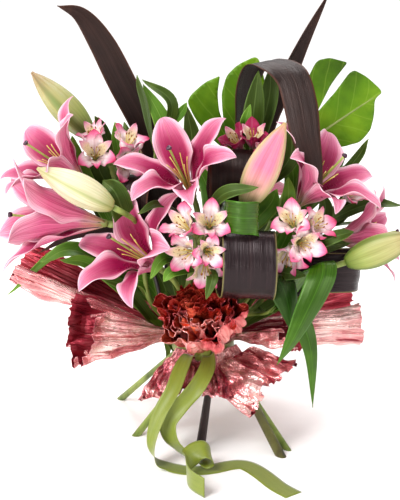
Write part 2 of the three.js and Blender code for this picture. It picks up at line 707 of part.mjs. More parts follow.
const SPRAYS = [
  {
    name: "alstroemeria_left",
    stalk: { tie: OUTER(3.2, 137), radius: 3.2, foot: SHORT, end: [-105, -8, 345], way: [-0.9, 0, 0.8] },
    florets: [
      { mouth: [-128, -46, 372], facing: [0.1, -0.85, 0.5] },
      { mouth: [-134, -22, 394], facing: [-0.35, -0.3, 0.9], spin: 20, length: 34 },
      { mouth: [-86, -30, 388], facing: [0.35, -0.3, 0.9], spin: 10 },
      { mouth: [-86, -44, 356], facing: [0.5, -0.85, 0.1], spin: 30 },
    ],
    leaves: [
      { at: 0.93, via: [-120, -2, 385], to: [-131, -10, 408], half: 7 },
      { at: 0.95, via: [-104, -16, 375], to: [-106, -22, 403], half: 6 },
    ],
  },
  {
    name: "alstroemeria_centre",
    stalk: { tie: OUTER(3.2, -157), radius: 3.2, thickFoot: 4.6, footAt: [-112, 88], end: [-6, -98, 262], way: [0, -0.5, 0.85] },
    florets: [
      { mouth: [-28, -122, 306], facing: [-0.55, -0.5, 0.65], spin: 15 },
      { mouth: [8, -132, 309], facing: [0.05, -0.85, 0.5] },
      { mouth: [-24, -140, 272], facing: [-0.5, -0.85, 0.1], spin: 25 },
      { mouth: [10, -148, 276], facing: [0.2, -0.95, 0.15], spin: 5 },
      { mouth: [3, -135, 245], facing: [0.05, -0.8, -0.55], spin: 36 },
    ],
    leaves: [
      { at: 0.9, via: [10, -138, 246], to: [3, -152, 222], half: 7 },
      { at: 0.93, via: [-34, -132, 250], to: [-46, -142, 240], half: 7 },
    ],
  },
  {
    name: "alstroemeria_right",
    stalk: { tie: OUTER(3.2, -88), radius: 3.2, thickFoot: 5, footAt: [-85, -32], end: [104, -80, 262], way: [0.2, -0.5, 0.8] },
    florets: [
      { mouth: [100, -114, 308], facing: [-0.2, -0.8, 0.6] },
      { mouth: [138, -102, 300], facing: [0.6, -0.55, 0.55], spin: 20 },
      { mouth: [118, -124, 278], facing: [0.25, -0.95, 0.15], spin: 10 },
      { mouth: [96, -118, 254], facing: [-0.2, -0.8, -0.5], spin: 30 },
    ],
    leaves: [
      { at: 0.94, via: [148, -102, 280], to: [176, -96, 287], half: 8, face: [0, -0.8, 0.6] },
      { at: 0.93, via: [72, -118, 272], to: [56, -134, 284], half: 7 },
      { at: 0.9, via: [92, -105, 240], to: [120, -112, 238], half: 9 },
    ],
  },
  {
    name: "alstroemeria_top",
    stalk: { tie: INNER(-103), radius: 3.2, foot: SHORT, end: [55, 2, 352], way: [0.1, -0.1, 0.95] },
    florets: [
      { mouth: [34, -36, 388], facing: [-0.5, -0.5, 0.7], length: 36, flare: 36 },
      { mouth: [60, -42, 395], facing: [0.05, -0.5, 0.85], length: 36, flare: 34 },
      { mouth: [74, -50, 374], facing: [0.3, -0.85, 0.3], length: 34, flare: 40 },
    ],
    leaves: [
      { at: 0.9, via: [60, -2, 400], to: [66, -6, 462], half: 13, face: [0, -1, 0.1] },
      { at: 0.96, via: [50, -20, 395], to: [56, -26, 425], half: 7 },
    ],
  },
  {
    name: "alstroemeria_side",
    stalk: { tie: OUTER(3.2, -18), radius: 3.2, foot: SHORT, end: [168, 8, 282], way: [0.5, 0, 0.8] },
    florets: [
      { mouth: [186, -14, 318], facing: [0.5, -0.6, 0.7], length: 36, spin: 10 },
      { mouth: [196, 25, 300], facing: [0.85, 0.3, 0.5], length: 38 },
    ],
  },
  {
    name: "alstroemeria_back",
    stalk: { tie: OUTER(3.2, 62), radius: 3.2, thickFoot: 4.6, footAt: [104, -74], end: [-70, 82, 300], way: [-0.2, 0.4, 0.85] },
    florets: [
      { mouth: [-100, 108, 322], facing: [-0.6, 0.7, 0.4], spin: 10 },
      { mouth: [-62, 122, 320], facing: [0.1, 0.9, 0.4] },
      { mouth: [-76, 92, 346], facing: [-0.1, 0.3, 0.95], spin: 20 },
    ],
    leaves: [{ at: 0.9, via: [-110, 95, 285], to: [-140, 112, 300], half: 9, face: [0, 1, 0.6] }],
  },
];

const DARK_LEAVES = [
  {
    name: "dark_leaf_tall_left",
    stalk: { tie: INNER(74), radius: 3.2, foot: SHORT, end: [-40, 34, 280], way: [-0.1, 0.05, 0.98] },
    via: [[-54, 34, 345], [-74, 34, 392], [-98, 35, 438], [-124, 36, 490], [-149, 36, 524], [-177, 34, 535]],
    sides: [[0.8, -0.3, 0.5], [0.83, -0.1, 0.55], [0.83, -0.1, 0.55], [0.75, -0.1, 0.65]],
    half: 18,
    taper: 0.6,
    count: 8,
  },
  {
    name: "dark_leaf_tall_right",
    stalk: { tie: INNER(-16), radius: 3.2, thickFoot: 6.5, sides: 6, footAt: [-4, -76], end: [62, 42, 350], way: [0.3, 0, 0.95] },
    via: [[80, 45, 405], [101, 46, 449], [126, 50, 500], [155, 50, 552]],
    sides: [[0.7, 0.6, -0.3], [0.72, 0.6, -0.35], [0.7, 0.6, -0.35]],
    half: 16,
    taper: 0.45,
    fold: 0.5,
  },
  {
    name: "dark_leaf_arch",
    stalk: { tie: INNER(-74), radius: 3.2, foot: SHORT, end: [45, 24, 335], way: [0.05, 0, 1] },
    via: [[49, 22, 400], [52, 17, 440], [64, 9, 468], [86, -4, 470], [105, -22, 458], [114, -42, 430], [120, -62, 394], [129, -78, 360], [138, -90, 326]],
    sides: [[0.6, 0.75, 0.1], [0.6, 0.75, 0.1], [0.8, 0.55, 0.1], [1, 0.1, 0.2], [0.97, 0.15, 0.25], [0.95, 0.1, 0.3]],
    half: 20,
    taper: 0.7,
    count: 10,
  },
  {
    name: "dark_leaf_roll_upper",
    stalk: { tie: [0, 0], radius: 3.2, core: 12.9, sides: 12, foot: SHORT, end: [28, -24, 288], way: [0.05, 0, 1] },
    via: [[32, -26, 342], [34, -38, 371], [34, -58, 371], [34, -72, 348], [34, -68, 320], [33, -50, 304], [31, -34, 306]],
    sides: [[1, 0, 0], [1, 0, 0]],
    half: 27,
    taper: 1,
    count: 9,
    fold: 0,
  },
  {
    name: "dark_leaf_roll_front",
    stalk: { tie: OUTER(2.7, -139), radius: 2.7, foot: SHORT, end: [42, -72, 218], way: [0.1, -0.1, 0.95] },
    via: [[48, -86, 262], [51, -106, 290], [52, -132, 290], [53, -149, 262], [52, -146, 232], [50, -124, 214], [46, -96, 214], [44, -82, 228]],
    sides: [[1, 0, 0], [1, 0, 0]],
    half: 31,
    taper: 1,
    count: 10,
    fold: 0,
  },
  {
    name: "dark_leaf_roll_right",
    stalk: { tie: INNER(-132), radius: 3.2, foot: SHORT, end: [96, -62, 214], way: [0.9, -0.2, 0.3] },
    via: [[124, -74, 229], [156, -82, 232], [181, -76, 231], [190, -56, 228], [178, -38, 226], [152, -36, 225]],
    sides: [[0.1, 0.2, 1], [0.1, 0.1, 1], [0.1, 0, 1]],
    half: 24,
    taper: 1,
    count: 9,
    fold: 0,
  },
  {
    name: "dark_leaf_roll_left",
    stalk: { tie: INNER(122), radius: 3.2, foot: SHORT, end: [-48, -14, 262], way: [-0.2, -0.1, 0.95] },
    via: [[-56, -14, 315], [-66, -28, 340], [-80, -48, 338], [-86, -60, 312], [-78, -56, 284], [-62, -36, 270]],
    sides: [[0.9, -0.35, 0.2], [0.9, -0.35, 0.2]],
    half: 22,
    taper: 1,
    count: 9,
    fold: 0,
  },
  {
    name: "dark_leaf_low_left",
    stalk: { tie: OUTER(2.7, 157), radius: 2.7, foot: SHORT, end: [-72, -36, 238], way: [-0.6, -0.1, 0.7] },
    via: [[-112, -52, 274], [-155, -56, 272], [-200, -54, 248]],
    sides: [[0.2, -0.8, 0.5], [0.2, -0.7, 0.6]],
    half: 9,
    taper: 0.5,
  },
];

const STRAP_LEAVES = [
  {
    name: "strap_leaf_front",
    stalk: { tie: OUTER(2.7, -106), radius: 2.7, foot: SHORT, end: [86, -84, 190], way: [0.6, -0.3, 0.8] },
    via: [[116, -98, 236], [136, -112, 254], [137, -130, 246], [128, -142, 226], [114, -150, 198], [99, -155, 168], [85, -155, 144]],
    sides: [[0.6, 0.7, 0.1], [0.8, 0.5, 0.2], [0.95, 0.2, 0.25], [0.9, 0.2, 0.4]],
    half: 14,
    taper: 0.5,
    count: 9,
    fold: 0.25,
  },
  {
    name: "strap_leaf_low",
    stalk: { tie: OUTER(2.7, -70), radius: 2.7, foot: SHORT, end: [84, -60, 176], way: [0.7, -0.4, 0.5] },
    via: [[104, -92, 196], [118, -108, 176], [128, -114, 140], [131, -116, 74]],
    sides: [[0.6, 0.7, 0.1], [0.9, 0.3, 0.1], [0.98, 0.1, 0.1]],
    half: 13,
    taper: 0.5,
    fold: 0.25,
  },
  {
    name: "strap_leaf_dark",
    stalk: { tie: OUTER(2.7, -123), radius: 2.7, foot: SHORT, end: [62, -72, 210], way: [0.3, -0.6, 0.7] },
    via: [[74, -96, 238], [88, -116, 234], [98, -126, 208], [104, -128, 172]],
    sides: [[0.9, 0.3, 0], [0.95, 0.3, 0.1], [0.97, 0.2, 0.2]],
    half: 18,
    taper: 0.6,
    fold: 0.25,
  },
  {
    name: "strap_leaf_roll",
    stalk: { tie: INNER(-162), radius: 3.2, foot: SHORT, end: [16, -70, 272], way: [0.1, -0.3, 0.9] },
    via: [[19, -98, 304], [27, -130, 314], [44, -142, 315], [60, -132, 312], [63, -116, 304]],
    sides: [[0.9, 0.1, 0.1], [0.2, 0.1, 0.9], [0, 0, 1], [0, 0, 1], [0, 0, 1]],
    half: 19,
    taper: 1,
    count: 9,
    fold: 0,
  },
];

const SPLIT_LEAVES = [
  {
    name: "split_leaf_left",
    stalk: { tie: INNER(14), radius: 3.2, foot: SHORT, end: [46, 58, 330], way: [0.05, 0.05, 1] },
    foot: [46, 346],
    tip: [68, 472],
    depth: 58,
    droop: 8,
    margin: [[46, 340], [15, 362], [-9, 390], [-20, 413], [-16, 422], [2, 438], [21, 446], [18, 424], [20, 402], [26, 386], [24, 404], [23, 424], [29, 446], [43, 460], [68, 472], [77, 441], [84, 404], [76, 372]],
  },
  {
    name: "split_leaf_right",
    stalk: { tie: INNER(-45), radius: 3.2, foot: SHORT, end: [122, 66, 342], way: [0.3, 0, 0.9] },
    foot: [126, 356],
    tip: [224, 425],
    depth: 66,
    droop: 8,
    margin: [[112, 350], [118, 402], [131, 440], [142, 464], [158, 468], [181, 462], [162, 436], [144, 398], [167, 425], [187, 454], [206, 444], [226, 426], [216, 416], [216, 396], [212, 377], [200, 362], [181, 356], [155, 352]],
  },
];

const FOIL_FANS = [
  { name: "foil_fan_left", angle: 202, rise: 1, rim: [-150, -66, 164], wide: 42, deep: 46, wrap: 124, phase: 0 },
  { name: "foil_fan_left_upper", angle: 172, rise: 1, rim: [-228, 14, 226], wide: 38, deep: 30, wrap: 98, phase: 1 },
  { name: "foil_fan_front", angle: -110, rise: -1, rim: [-22, -80, 70], wide: 60, deep: 14, wrap: 90, phase: 2, opens: [0, 0, 0.5, 0.8, 1] },
  { name: "foil_fan_front_right", angle: -50, rise: -1, rim: [88, -78, 80], wide: 48, deep: 20, wrap: 92, phase: 3, turn: 22, opens: [0, 0, 0.34, 0.68, 1] },
  { name: "foil_fan_right_upper", angle: -32, rise: 1, rim: [110, -68, 162], wide: 34, deep: 26, wrap: 100, phase: 4 },
  { name: "foil_fan_right", angle: 4, rise: 1, rim: [196, 8, 158], wide: 42, deep: 46, wrap: 118, phase: 5 },
  { name: "foil_fan_back_right", angle: 44, rise: 1, rim: [124, 110, 166], wide: 44, deep: 28, wrap: 95, phase: 6, pleats: 6 },
  { name: "foil_fan_back", angle: 88, rise: 1, rim: [4, 152, 170], wide: 46, deep: 28, wrap: 95, phase: 7, pleats: 6 },
  { name: "foil_fan_back_left", angle: 132, rise: 1, rim: [-118, 112, 172], wide: 44, deep: 28, wrap: 95, phase: 8, pleats: 6 },
].map((fan) => ({ pleats: 7, ...fan }));

const ROSETTE = [
  { name: "foil_rosette_heart", rim: [-12, -88, 208], wide: 22, deep: 18, wrap: 165, phase: 3, pleats: 6, nested: true },
  { name: "foil_rosette_lip", rim: [-4, -104, 190], wide: 52, deep: 40, wrap: 145, phase: 1, pleats: 8 },
].map((layer) => ({ angle: -83, rise: 1, ...layer }));

const RIBBON_TAILS = [
  {
    points: [
      [-5, -46, 115], [-18, -57, 119], [-27, -77, 110], [-37, -101, 91], [-51, -114, 69], [-60, -122, 47],
      [-63, -127, 26], [-57, -128, 9.4], [-43, -126, 2.2], [-26, -133, 0.7], [-9, -135, 0.42], [10, -131, 0.4],
      [31, -121, 0.4], [46, -118, 0.4], [58, -127, 0.4], [71, -147, 0.4], [87, -177, 0.4], [104, -199, 0.4],
    ],
    sides: [
      [0.98, 0, 0.1], [0.96, -0.2, 0.1], [0.95, -0.2, 0.2], [0.9, -0.4, 0.3], [0.5, -0.8, 0.2], [0.1, -1, 0],
      [0.1, -1, 0], [0, -1, 0], [-0.2, -1, 0], [0, -1, 0], [-0.6, -0.7, 0], [-0.85, -0.45, 0], [-0.8, -0.6, 0],
    ],
    count: 22,
  },
  {
    points: [
      [5, -46, 115], [6, -58, 119], [4, -79, 109], [-9, -100, 92], [-29, -111, 72], [-42, -116, 54],
      [-40, -119, 36], [-28, -121, 22], [-12, -124, 11], [3, -127, 9], [10, -130, 16], [3, -132, 26],
      [-9, -134, 25], [-18, -142, 17], [-20, -160, 13.6], [-15, -184, 12.9], [1, -206, 12.8],
    ],
    sides: [
      [0.98, 0.1, 0], [0.5, 0.6, 0.4], [0.7, 0.5, 0.4], [0.9, 0.2, 0.4], [0.8, -0.2, 0.5], [0.4, -0.7, 0.5],
      [0.3, -0.8, 0.4], [0.2, -0.9, -0.3], [0.2, -0.8, -0.5], [0.2, -0.7, -0.6], [0.1, -0.2, -1], [0, 0, -1], [0, 0, -1],
    ],
    count: 22,
  },
];

// Every piece in turn: a piece is cut clear of those before it, so what carries others comes first.
const pieces = [
  ["twine", COLOUR.twine, (grow) => twine(grow)],
  ...LEAFY_STEMS.map((s) => [s.name, COLOUR.stem, (grow) => leafyStem(s, grow)]),
  ...Object.entries(LILIES).map(([key, l]) => [`lily_${key}_pistil`, COLOUR.pistil, (grow) => lilyPistil(l, grow)]),
  ...Object.entries(LILIES).map(([key, l]) => [`lily_${key}`, COLOUR.lily, (grow) => lilyBloom(l, grow)]),
  ...Object.entries(BUDS).map(([key, b]) => [
    `bud_${key}`,
    key === "opening" ? COLOUR.openingBud : COLOUR.bud,
    (grow) => bud(b, grow),
  ]),
  ...SPRAYS.map((s) => [s.name, COLOUR.alstroemeria, (grow) => spray(s, grow)]),
  ...DARK_LEAVES.map((l) => [l.name, COLOUR.darkLeaf, (grow) => longLeaf(l, grow)]),
  ...STRAP_LEAVES.map((l) => [l.name, COLOUR.strapLeaf, (grow) => longLeaf(l, grow)]),
  ...SPLIT_LEAVES.map((l) => [l.name, COLOUR.splitLeaf, (grow) => splitLeaf(l, grow)]),
  ...SPRIGS.map((s) => [s.name, COLOUR.leaf, (grow) => leafyStem(s, grow)]),
  ["ribbon", COLOUR.ribbon, (grow) => ribbon(RIBBON_TAILS, grow)],
  ...ROSETTE.map((f) => [f.name, COLOUR.rosette, (grow) => foilFan(f, grow)]),
  ...FOIL_FANS.map((f) => [f.name, COLOUR.foil, (grow) => foilFan(f, grow)]),
];

const touches = (a, b) => [0, 1, 2].every((k) => a.min[k] < b.max[k] && b.min[k] < a.max[k]);

// The largest body of a solid, without the loose scraps that a cut leaves.
function largest(solid) {
  return solid.decompose().sort((a, b) => b.volume() - a.volume())[0];
}

// A mesh whose own origin is the middle of the piece's lowest level, and which is placed there.
function meshOf(name, colour, solid) {
  const { vertProperties, triVerts } = solid.getMesh();
  const geometry = new THREE.BufferGeometry();
  geometry.setAttribute("position", new THREE.BufferAttribute(vertProperties, 3));
  geometry.setIndex(new THREE.BufferAttribute(triVerts, 1));
  geometry.computeBoundingBox();
  const base = geometry.boundingBox.getCenter(new THREE.Vector3()).setZ(geometry.boundingBox.min.z);
  geometry.translate(-base.x, -base.y, -base.z);
  const foil = name.startsWith("foil");
  const finish = { color: colour, roughness: foil ? 0.35 : 0.6, metalness: foil ? 0.7 : 0 };
  const mesh = new THREE.Mesh(geometry, new THREE.MeshStandardMaterial(finish));
  mesh.name = name;
  mesh.position.copy(base);
  return mesh;
}

const bouquet = new THREE.Group();
const placed = [];
for (const [name, colour, build] of pieces) {
  const whole = build(0);
  let cut = whole;
  for (const other of placed) {
    if (touches(cut.boundingBox(), other.boundingBox())) cut = cut.subtract(other);
  }
  const kept = largest(cut.simplify(SLIVER));
  placed.push(build(CLEARANCE));
  const mesh = meshOf(name, colour, kept);
  mesh.userData.keptShare = kept.volume() / whole.volume();
  bouquet.add(mesh);
}

// The origin is on the surface that the bouquet stands on, under the middle of its outline.
const outlineBox = new THREE.Box3().setFromObject(bouquet);
const middle = outlineBox.getCenter(new THREE.Vector3());
bouquet.position.set(-middle.x, -middle.y, -outlineBox.min.z);

export default bouquet;
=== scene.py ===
import math
import random

import bmesh
import bpy
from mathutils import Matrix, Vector, geometry, noise


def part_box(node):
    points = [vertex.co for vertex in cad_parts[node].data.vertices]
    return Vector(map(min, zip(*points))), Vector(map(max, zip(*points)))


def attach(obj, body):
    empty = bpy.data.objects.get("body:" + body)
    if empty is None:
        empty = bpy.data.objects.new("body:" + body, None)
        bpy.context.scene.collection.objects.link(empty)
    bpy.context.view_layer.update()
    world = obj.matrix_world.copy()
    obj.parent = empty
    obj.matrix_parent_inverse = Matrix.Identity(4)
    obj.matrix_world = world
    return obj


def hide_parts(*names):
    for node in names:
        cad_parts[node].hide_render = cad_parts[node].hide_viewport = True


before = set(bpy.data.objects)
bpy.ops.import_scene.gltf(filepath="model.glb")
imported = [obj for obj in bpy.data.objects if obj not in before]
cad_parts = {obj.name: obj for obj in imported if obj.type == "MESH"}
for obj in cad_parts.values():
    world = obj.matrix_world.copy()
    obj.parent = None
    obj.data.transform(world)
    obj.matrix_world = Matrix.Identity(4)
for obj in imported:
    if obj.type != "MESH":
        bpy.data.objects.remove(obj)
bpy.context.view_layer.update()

millimetre = 0.001
up = Vector((0, 0, 1))

# The bundle of stems. Sizes here and in all tables below are millimetres from the bundle's own axis.
bundle = {
    "tieHeight": 115,
    "above": 160,  # where the stems leave the spiral
    "twistLength": 23,  # rise in which a stem moves sideways by its own distance from the axis
    "radius": 30,
    "innerRing": 16.4,
    "innerStalk": 3.2,
    "gap": 0.3,
    "hubBelow": 5,  # how far the neck of a bloom reaches below its base
    "shortFoot": 72,  # where stalks that don't reach the surface are cut
    "longFoot": -10,  # the others are drawn past the surface, then cut level with it
}
twineLow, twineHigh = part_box("twine")
bundleAxis = Vector(((twineLow[0] + twineHigh[0]) / 2, (twineLow[1] + twineHigh[1]) / 2, 0))


# Paths

def unit(a):
    return Vector(a).normalized()


def steps(count):
    return [i / count for i in range(count + 1)]


def bezier(a, b, c, d, count):
    curve = []
    for t in steps(count):
        s = 1 - t
        curve.append(s ** 3 * a + 3 * s * s * t * b + 3 * s * t * t * c + t ** 3 * d)
    return curve


# A point of the Catmull-Rom curve through the points, counted in stretches from the first.
def curveAt(points, place):
    last = len(points) - 1
    i = min(int(place), last - 1)
    t = place - i
    b, c = points[i], points[i + 1]
    a = points[i - 1] if i else 2 * b - c
    d = points[i + 2] if i + 2 <= last else 2 * c - b
    point = b + 0.5 * t * (c - a) + t * t * (a - 2.5 * b + 2 * c - 0.5 * d)
    return point + t ** 3 * (1.5 * (b - c) + 0.5 * (d - a))


def smooth(points, count):
    points = [Vector(p) for p in points]
    return [curveAt(points, t * (len(points) - 1)) for t in steps(count)]


def tangentAt(path, i):
    return (path[min(i + 1, len(path) - 1)] - path[max(i - 1, 0)]).normalized()


def lengthOf(path):
    return sum((b - a).length for a, b in zip(path, path[1:]))


def pointAlong(path, share):
    left = share * lengthOf(path)
    for a, b in zip(path, path[1:]):
        if left <= (b - a).length:
            return a.lerp(b, left / (b - a).length)
        left -= (b - a).length
    return path[-1].copy()


def directionAt(directions, share):
    place = share * (len(directions) - 1)
    i = min(int(place), len(directions) - 2)
    return Vector(directions[i]).lerp(Vector(directions[i + 1]), place - i)


# Half width of a petal or pointed leaf, as a share of its widest.
# Its foot is never narrower than the given share.
def outlineAt(t, p, q, foot):
    return max(math.sin(math.pi * min(t, 0.999) ** p) ** q, foot * (1 - t), 0.02)


# The same for a strap: it widens in its first fifth, and narrows to a point from the taper on.
def strapAt(t, taper):
    rise = min(1, 0.12 + 0.88 * t / 0.2)
    point = max(1 - ((t - taper) / (1 - taper)) ** 1.8, 0.03) if t > taper else 1
    return min(rise, point)


# A stalk bound in the outer or the inner ring of the bundle.
# It ends at a point, arriving the way it is given.
def outerStalk(radius, angle, end, way, **more):
    tie = bundle["radius"] - radius - bundle["gap"], angle
    return {"tie": tie, "radius": radius, "end": end, "way": way, **more}


def innerStalk(angle, end, way, **more):
    tie = bundle["innerRing"], angle
    return {"tie": tie, "radius": bundle["innerStalk"], "end": end, "way": way, **more}


# Where the stalk of a flower or bud ends: just below its neck.
def under(flower):
    reach = 2 * bundle["gap"] + (bundle["hubBelow"] if "spin" in flower else 0)
    return {"end": Vector(flower["base"]) - unit(flower["facing"]) * reach, "way": flower["facing"]}


def spiralPoint(tie, height):
    radius, angle = tie
    turn = (height - bundle["tieHeight"]) / bundle["twistLength"]
    x, y = radius * math.cos(math.radians(angle)), radius * math.sin(math.radians(angle))
    return Vector((x - turn * y, y + turn * x, height))


def stalkPath(spec, count):
    tie, end, tieHeight = spec["tie"], Vector(spec["end"]), bundle["tieHeight"]
    start, atTie = spiralPoint(tie, bundle["above"]), spiralPoint(tie, tieHeight)
    reach = (end - start).length * 0.38
    leaving = start + (start - atTie).normalized() * reach
    if "footAt" in spec:
        below = atTie.lerp(Vector((*spec["footAt"], 0)), (tieHeight - bundle["longFoot"]) / tieHeight)
    else:
        below = spiralPoint(tie, spec.get("foot", bundle["shortFoot"]))
    return [below, atTie, *bezier(start, leaving, end - unit(spec["way"]) * reach, end, count)]


# Meshes. A shape collects closed surfaces, each with a finish and its place across and along, from 0 to 1.

def newShape():
    return {"points": [], "faces": [], "corners": [], "slots": [], "flat": []}


def addFaces(shape, points, faces, corners, slots, flat=False):
    first = len(shape["points"])
    shape["points"] += points
    shape["faces"] += [tuple(first + k for k in face) for face in faces]
    shape["corners"] += corners
    shape["slots"] += slots if isinstance(slots, list) else [slots] * len(faces)
    shape["flat"] += [flat] * len(faces)


# How a surface of rows runs along and across at one of its points.
def slopes(rows, i, j):
    along = rows[min(i + 1, len(rows) - 1)][j] - rows[max(i - 1, 0)][j]
    over = rows[i][min(j + 1, len(rows[i]) - 1)] - rows[i][max(j - 1, 0)]
    return along, over


# A thin sheet through rows of points, thickened to both sides and closed round its rim. Its back may differ.
def addSheet(shape, rows, thick, slot, flat=False, back=None):
    high, wide = len(rows), len(rows[0])
    size = high * wide
    top, bottom, faces = [], [], []
    for i, row in enumerate(rows):
        for j, point in enumerate(row):
            along, over = slopes(rows, i, j)
            normal = over.cross(along).normalized() * (thick / 2)
            top.append(point + normal)
            bottom.append(point - normal)
    for i in range(high - 1):
        for j in range(wide - 1):
            a, b = i * wide + j, i * wide + j + 1
            faces.append((a, b, b + wide, a + wide))
            faces.append((a + size, a + wide + size, b + wide + size, b + size))
    rim = [*range(wide), *range(2 * wide - 1, size, wide)]
    rim += [*range(size - 2, size - wide - 1, -1), *range(size - 2 * wide, 0, -wide)]
    slots = [slot, back or slot] * ((high - 1) * (wide - 1)) + [slot] * len(rim)
    faces += [(b, a, a + size, b + size) for a, b in zip(rim, rim[1:] + rim[:1])]
    places = [(k % wide / (wide - 1), k // wide / (high - 1)) for k in range(size)] * 2
    addFaces(shape, top + bottom, faces, [[places[k] for k in face] for face in faces], slots, flat)


# A round body through rings of points, closed at both ends.
def addBody(shape, rings, slot):
    high, wide = len(rings), len(rings[0])
    points = [p for ring in rings for p in ring]
    points += [sum(ring, Vector()) / wide for ring in (rings[0], rings[-1])]
    faces, corners = [], []
    for i in range(high - 1):
        for j in range(wide):
            k = (j + 1) % wide
            faces.append((i * wide + j, i * wide + k, (i + 1) * wide + k, (i + 1) * wide + j))
            low, top = i / (high - 1), (i + 1) / (high - 1)
            corners.append([(j / wide, low), ((j + 1) / wide, low), ((j + 1) / wide, top), (j / wide, top)])
    for j in range(wide):
        k = (j + 1) % wide
        faces += [(k, j, high * wide), ((high - 1) * wide + j, (high - 1) * wide + k, high * wide + 1)]
        corners += [[(j / wide, 0)] * 3, [(j / wide, 1)] * 3]
    addFaces(shape, points, faces, corners, slot)


def sidesOf(facing):
    right = up.cross(facing).normalized()
    return right, facing.cross(right)


def ringRound(centre, sides, radius, count, section=lambda angle: 1):
    angles = [2 * math.pi * k / count for k in range(count)]
    return [centre + (sides[0] * math.cos(a) + sides[1] * math.sin(a)) * radius * section(a) for a in angles]


# Links a value, a socket or a node to an input.
# A node stands for its first output, or its colour if it mixes.
def wire(tree, value, socket):
    if isinstance(value, bpy.types.Node):
        value = value.outputs[2 if value.bl_idname == "ShaderNodeMix" else 0]
    if isinstance(value, bpy.types.NodeSocket):
        tree.links.new(value, socket)
    else:
        socket.default_value = value


# One small function for every node of every tree: what goes into it, a ramp's stops, and its settings.
def add(tree, kind, links=None, stops=None, **settings):
    node = tree.nodes.new(kind)
    for key, value in settings.items():
        setattr(node, key, value)
    for key, value in (links or {}).items():
        wire(tree, value, node.inputs[key])
    if stops:
        elements = node.color_ramp.elements
        elements.remove(elements[-1])
        elements[0].position, elements[0].color = stops[0][0], linear(stops[0][1])
        for place, colour in stops[1:]:
            elements.new(place).color = linear(colour)
    return node


# Starts a tree of Geometry Nodes with its named inputs, and ends one with real geometry that has its finish.
def newTree(name, **inputs):
    tree = bpy.data.node_groups.new(name, "GeometryNodeTree")
    for label, kind in inputs.items():
        tree.interface.new_socket(label, in_out="INPUT", socket_type="NodeSocket" + kind)
    tree.interface.new_socket("Geometry", in_out="OUTPUT", socket_type="NodeSocketGeometry")
    return tree, add(tree, "NodeGroupInput").outputs


def endTree(tree, made, finish):
    real = add(tree, "GeometryNodeRealizeInstances", {0: made})
    skin = add(tree, "GeometryNodeSetMaterial", {"Geometry": real, "Material": finish})
    add(tree, "NodeGroupOutput", {0: skin})
    return tree


# Everything round that follows a path: stems, stalks, filaments and styles.
def stalkTree():
    tree, given = newTree("stalksAlongPaths", Geometry="Geometry", Sides="Int", Finish="Material")
    curve = add(tree, "GeometryNodeMeshToCurve", {"Mesh": given["Geometry"]})
    radius = add(tree, "GeometryNodeInputNamedAttribute", {"Name": "thickness"}, data_type="FLOAT")
    ring = add(tree, "GeometryNodeCurvePrimitiveCircle", {"Resolution": given["Sides"], "Radius": 1.0})
    links = {"Curve": curve, "Profile Curve": ring, "Scale": radius, "Fill Caps": True}
    return endTree(tree, add(tree, "GeometryNodeCurveToMesh", links), given["Finish"])


# The twine: turns of a helix round the bundle.
def twineTree():
    tree, given = newTree(
        "woundTwine", Turns="Float", Radius="Float", Height="Float", Strand="Float", Finish="Material",
    )
    links = {
        "Resolution": 48, "Rotations": given["Turns"], "Start Radius": given["Radius"],
        "End Radius": given["Radius"], "Height": given["Height"],
    }
    helix = add(tree, "GeometryNodeCurveSpiral", links)
    ring = add(tree, "GeometryNodeCurvePrimitiveCircle", {"Resolution": 8, "Radius": given["Strand"]})
    links = {"Curve": helix, "Profile Curve": ring, "Fill Caps": True}
    return endTree(tree, add(tree, "GeometryNodeCurveToMesh", links), given["Finish"])


# The fleshy papillae in the throat of a lily: a cone on every point, of a size that varies.
def papillaTree():
    tree, given = newTree(
        "papillaeOnPetals", Geometry="Geometry", Length="Float", Seed="Int", Finish="Material",
    )
    links = {"Vertices": 6, "Radius Top": 0.12, "Radius Bottom": 0.42, "Depth": given["Length"]}
    cone = add(tree, "GeometryNodeMeshCone", links)
    facing = add(tree, "GeometryNodeInputNamedAttribute", {"Name": "facing"}, data_type="FLOAT_VECTOR")
    turned = add(tree, "FunctionNodeAlignRotationToVector", {"Vector": facing}, axis="Z")
    size = add(tree, "FunctionNodeRandomValue", {2: 0.6, 3: 1.3, "Seed": given["Seed"]}, data_type="FLOAT")
    links = {"Points": given["Geometry"], "Instance": cone, "Rotation": turned, "Scale": size.outputs[1]}
    return endTree(tree, add(tree, "GeometryNodeInstanceOnPoints", links), given["Finish"])


def newObject(name, data):
    item = bpy.data.objects.new(name, data)
    bpy.context.scene.collection.objects.link(item)
    return item


def runTree(tree, mesh, values):
    source = newObject("source", mesh)
    modifier = source.modifiers.new("nodes", "NODES")
    modifier.node_group = tree
    for item in tree.interface.items_tree:
        if item.in_out == "INPUT" and item.name in values:
            modifier[item.identifier] = values[item.name]
    bpy.context.view_layer.update()
    done = bpy.data.meshes.new_from_object(source.evaluated_get(bpy.context.evaluated_depsgraph_get()))
    bpy.data.objects.remove(source)
    return done


# Adds what a tree of nodes has made to a shape, moved by a shift.
def addMesh(shape, mesh, slot, shift=Vector()):
    body = bmesh.new()
    body.from_mesh(mesh)
    bmesh.ops.recalc_face_normals(body, faces=body.faces)
    faces = [tuple(v.index for v in face.verts) for face in body.faces]
    corners = [[(0.5, 0.5)] * len(face) for face in faces]
    addFaces(shape, [v.co + shift for v in body.verts], faces, corners, slot)
    body.free()


# Adds round stalks to a shape. Each is (path, radii), with one radius for each point of its path.
def addStalks(shape, stalks, slot, sides=12):
    mesh = bpy.data.meshes.new("paths")
    points, edges, radii = [], [], []
    for path, widths in stalks:
        edges += [(len(points) + k, len(points) + k + 1) for k in range(len(path) - 1)]
        points += path
        radii += widths
    mesh.from_pydata(points, edges, [])
    mesh.attributes.new("thickness", "FLOAT", "POINT").data.foreach_set("value", radii)
    addMesh(shape, runTree(trees["stalk"], mesh, {"Sides": sides, "Finish": finishes[slot]}), slot)


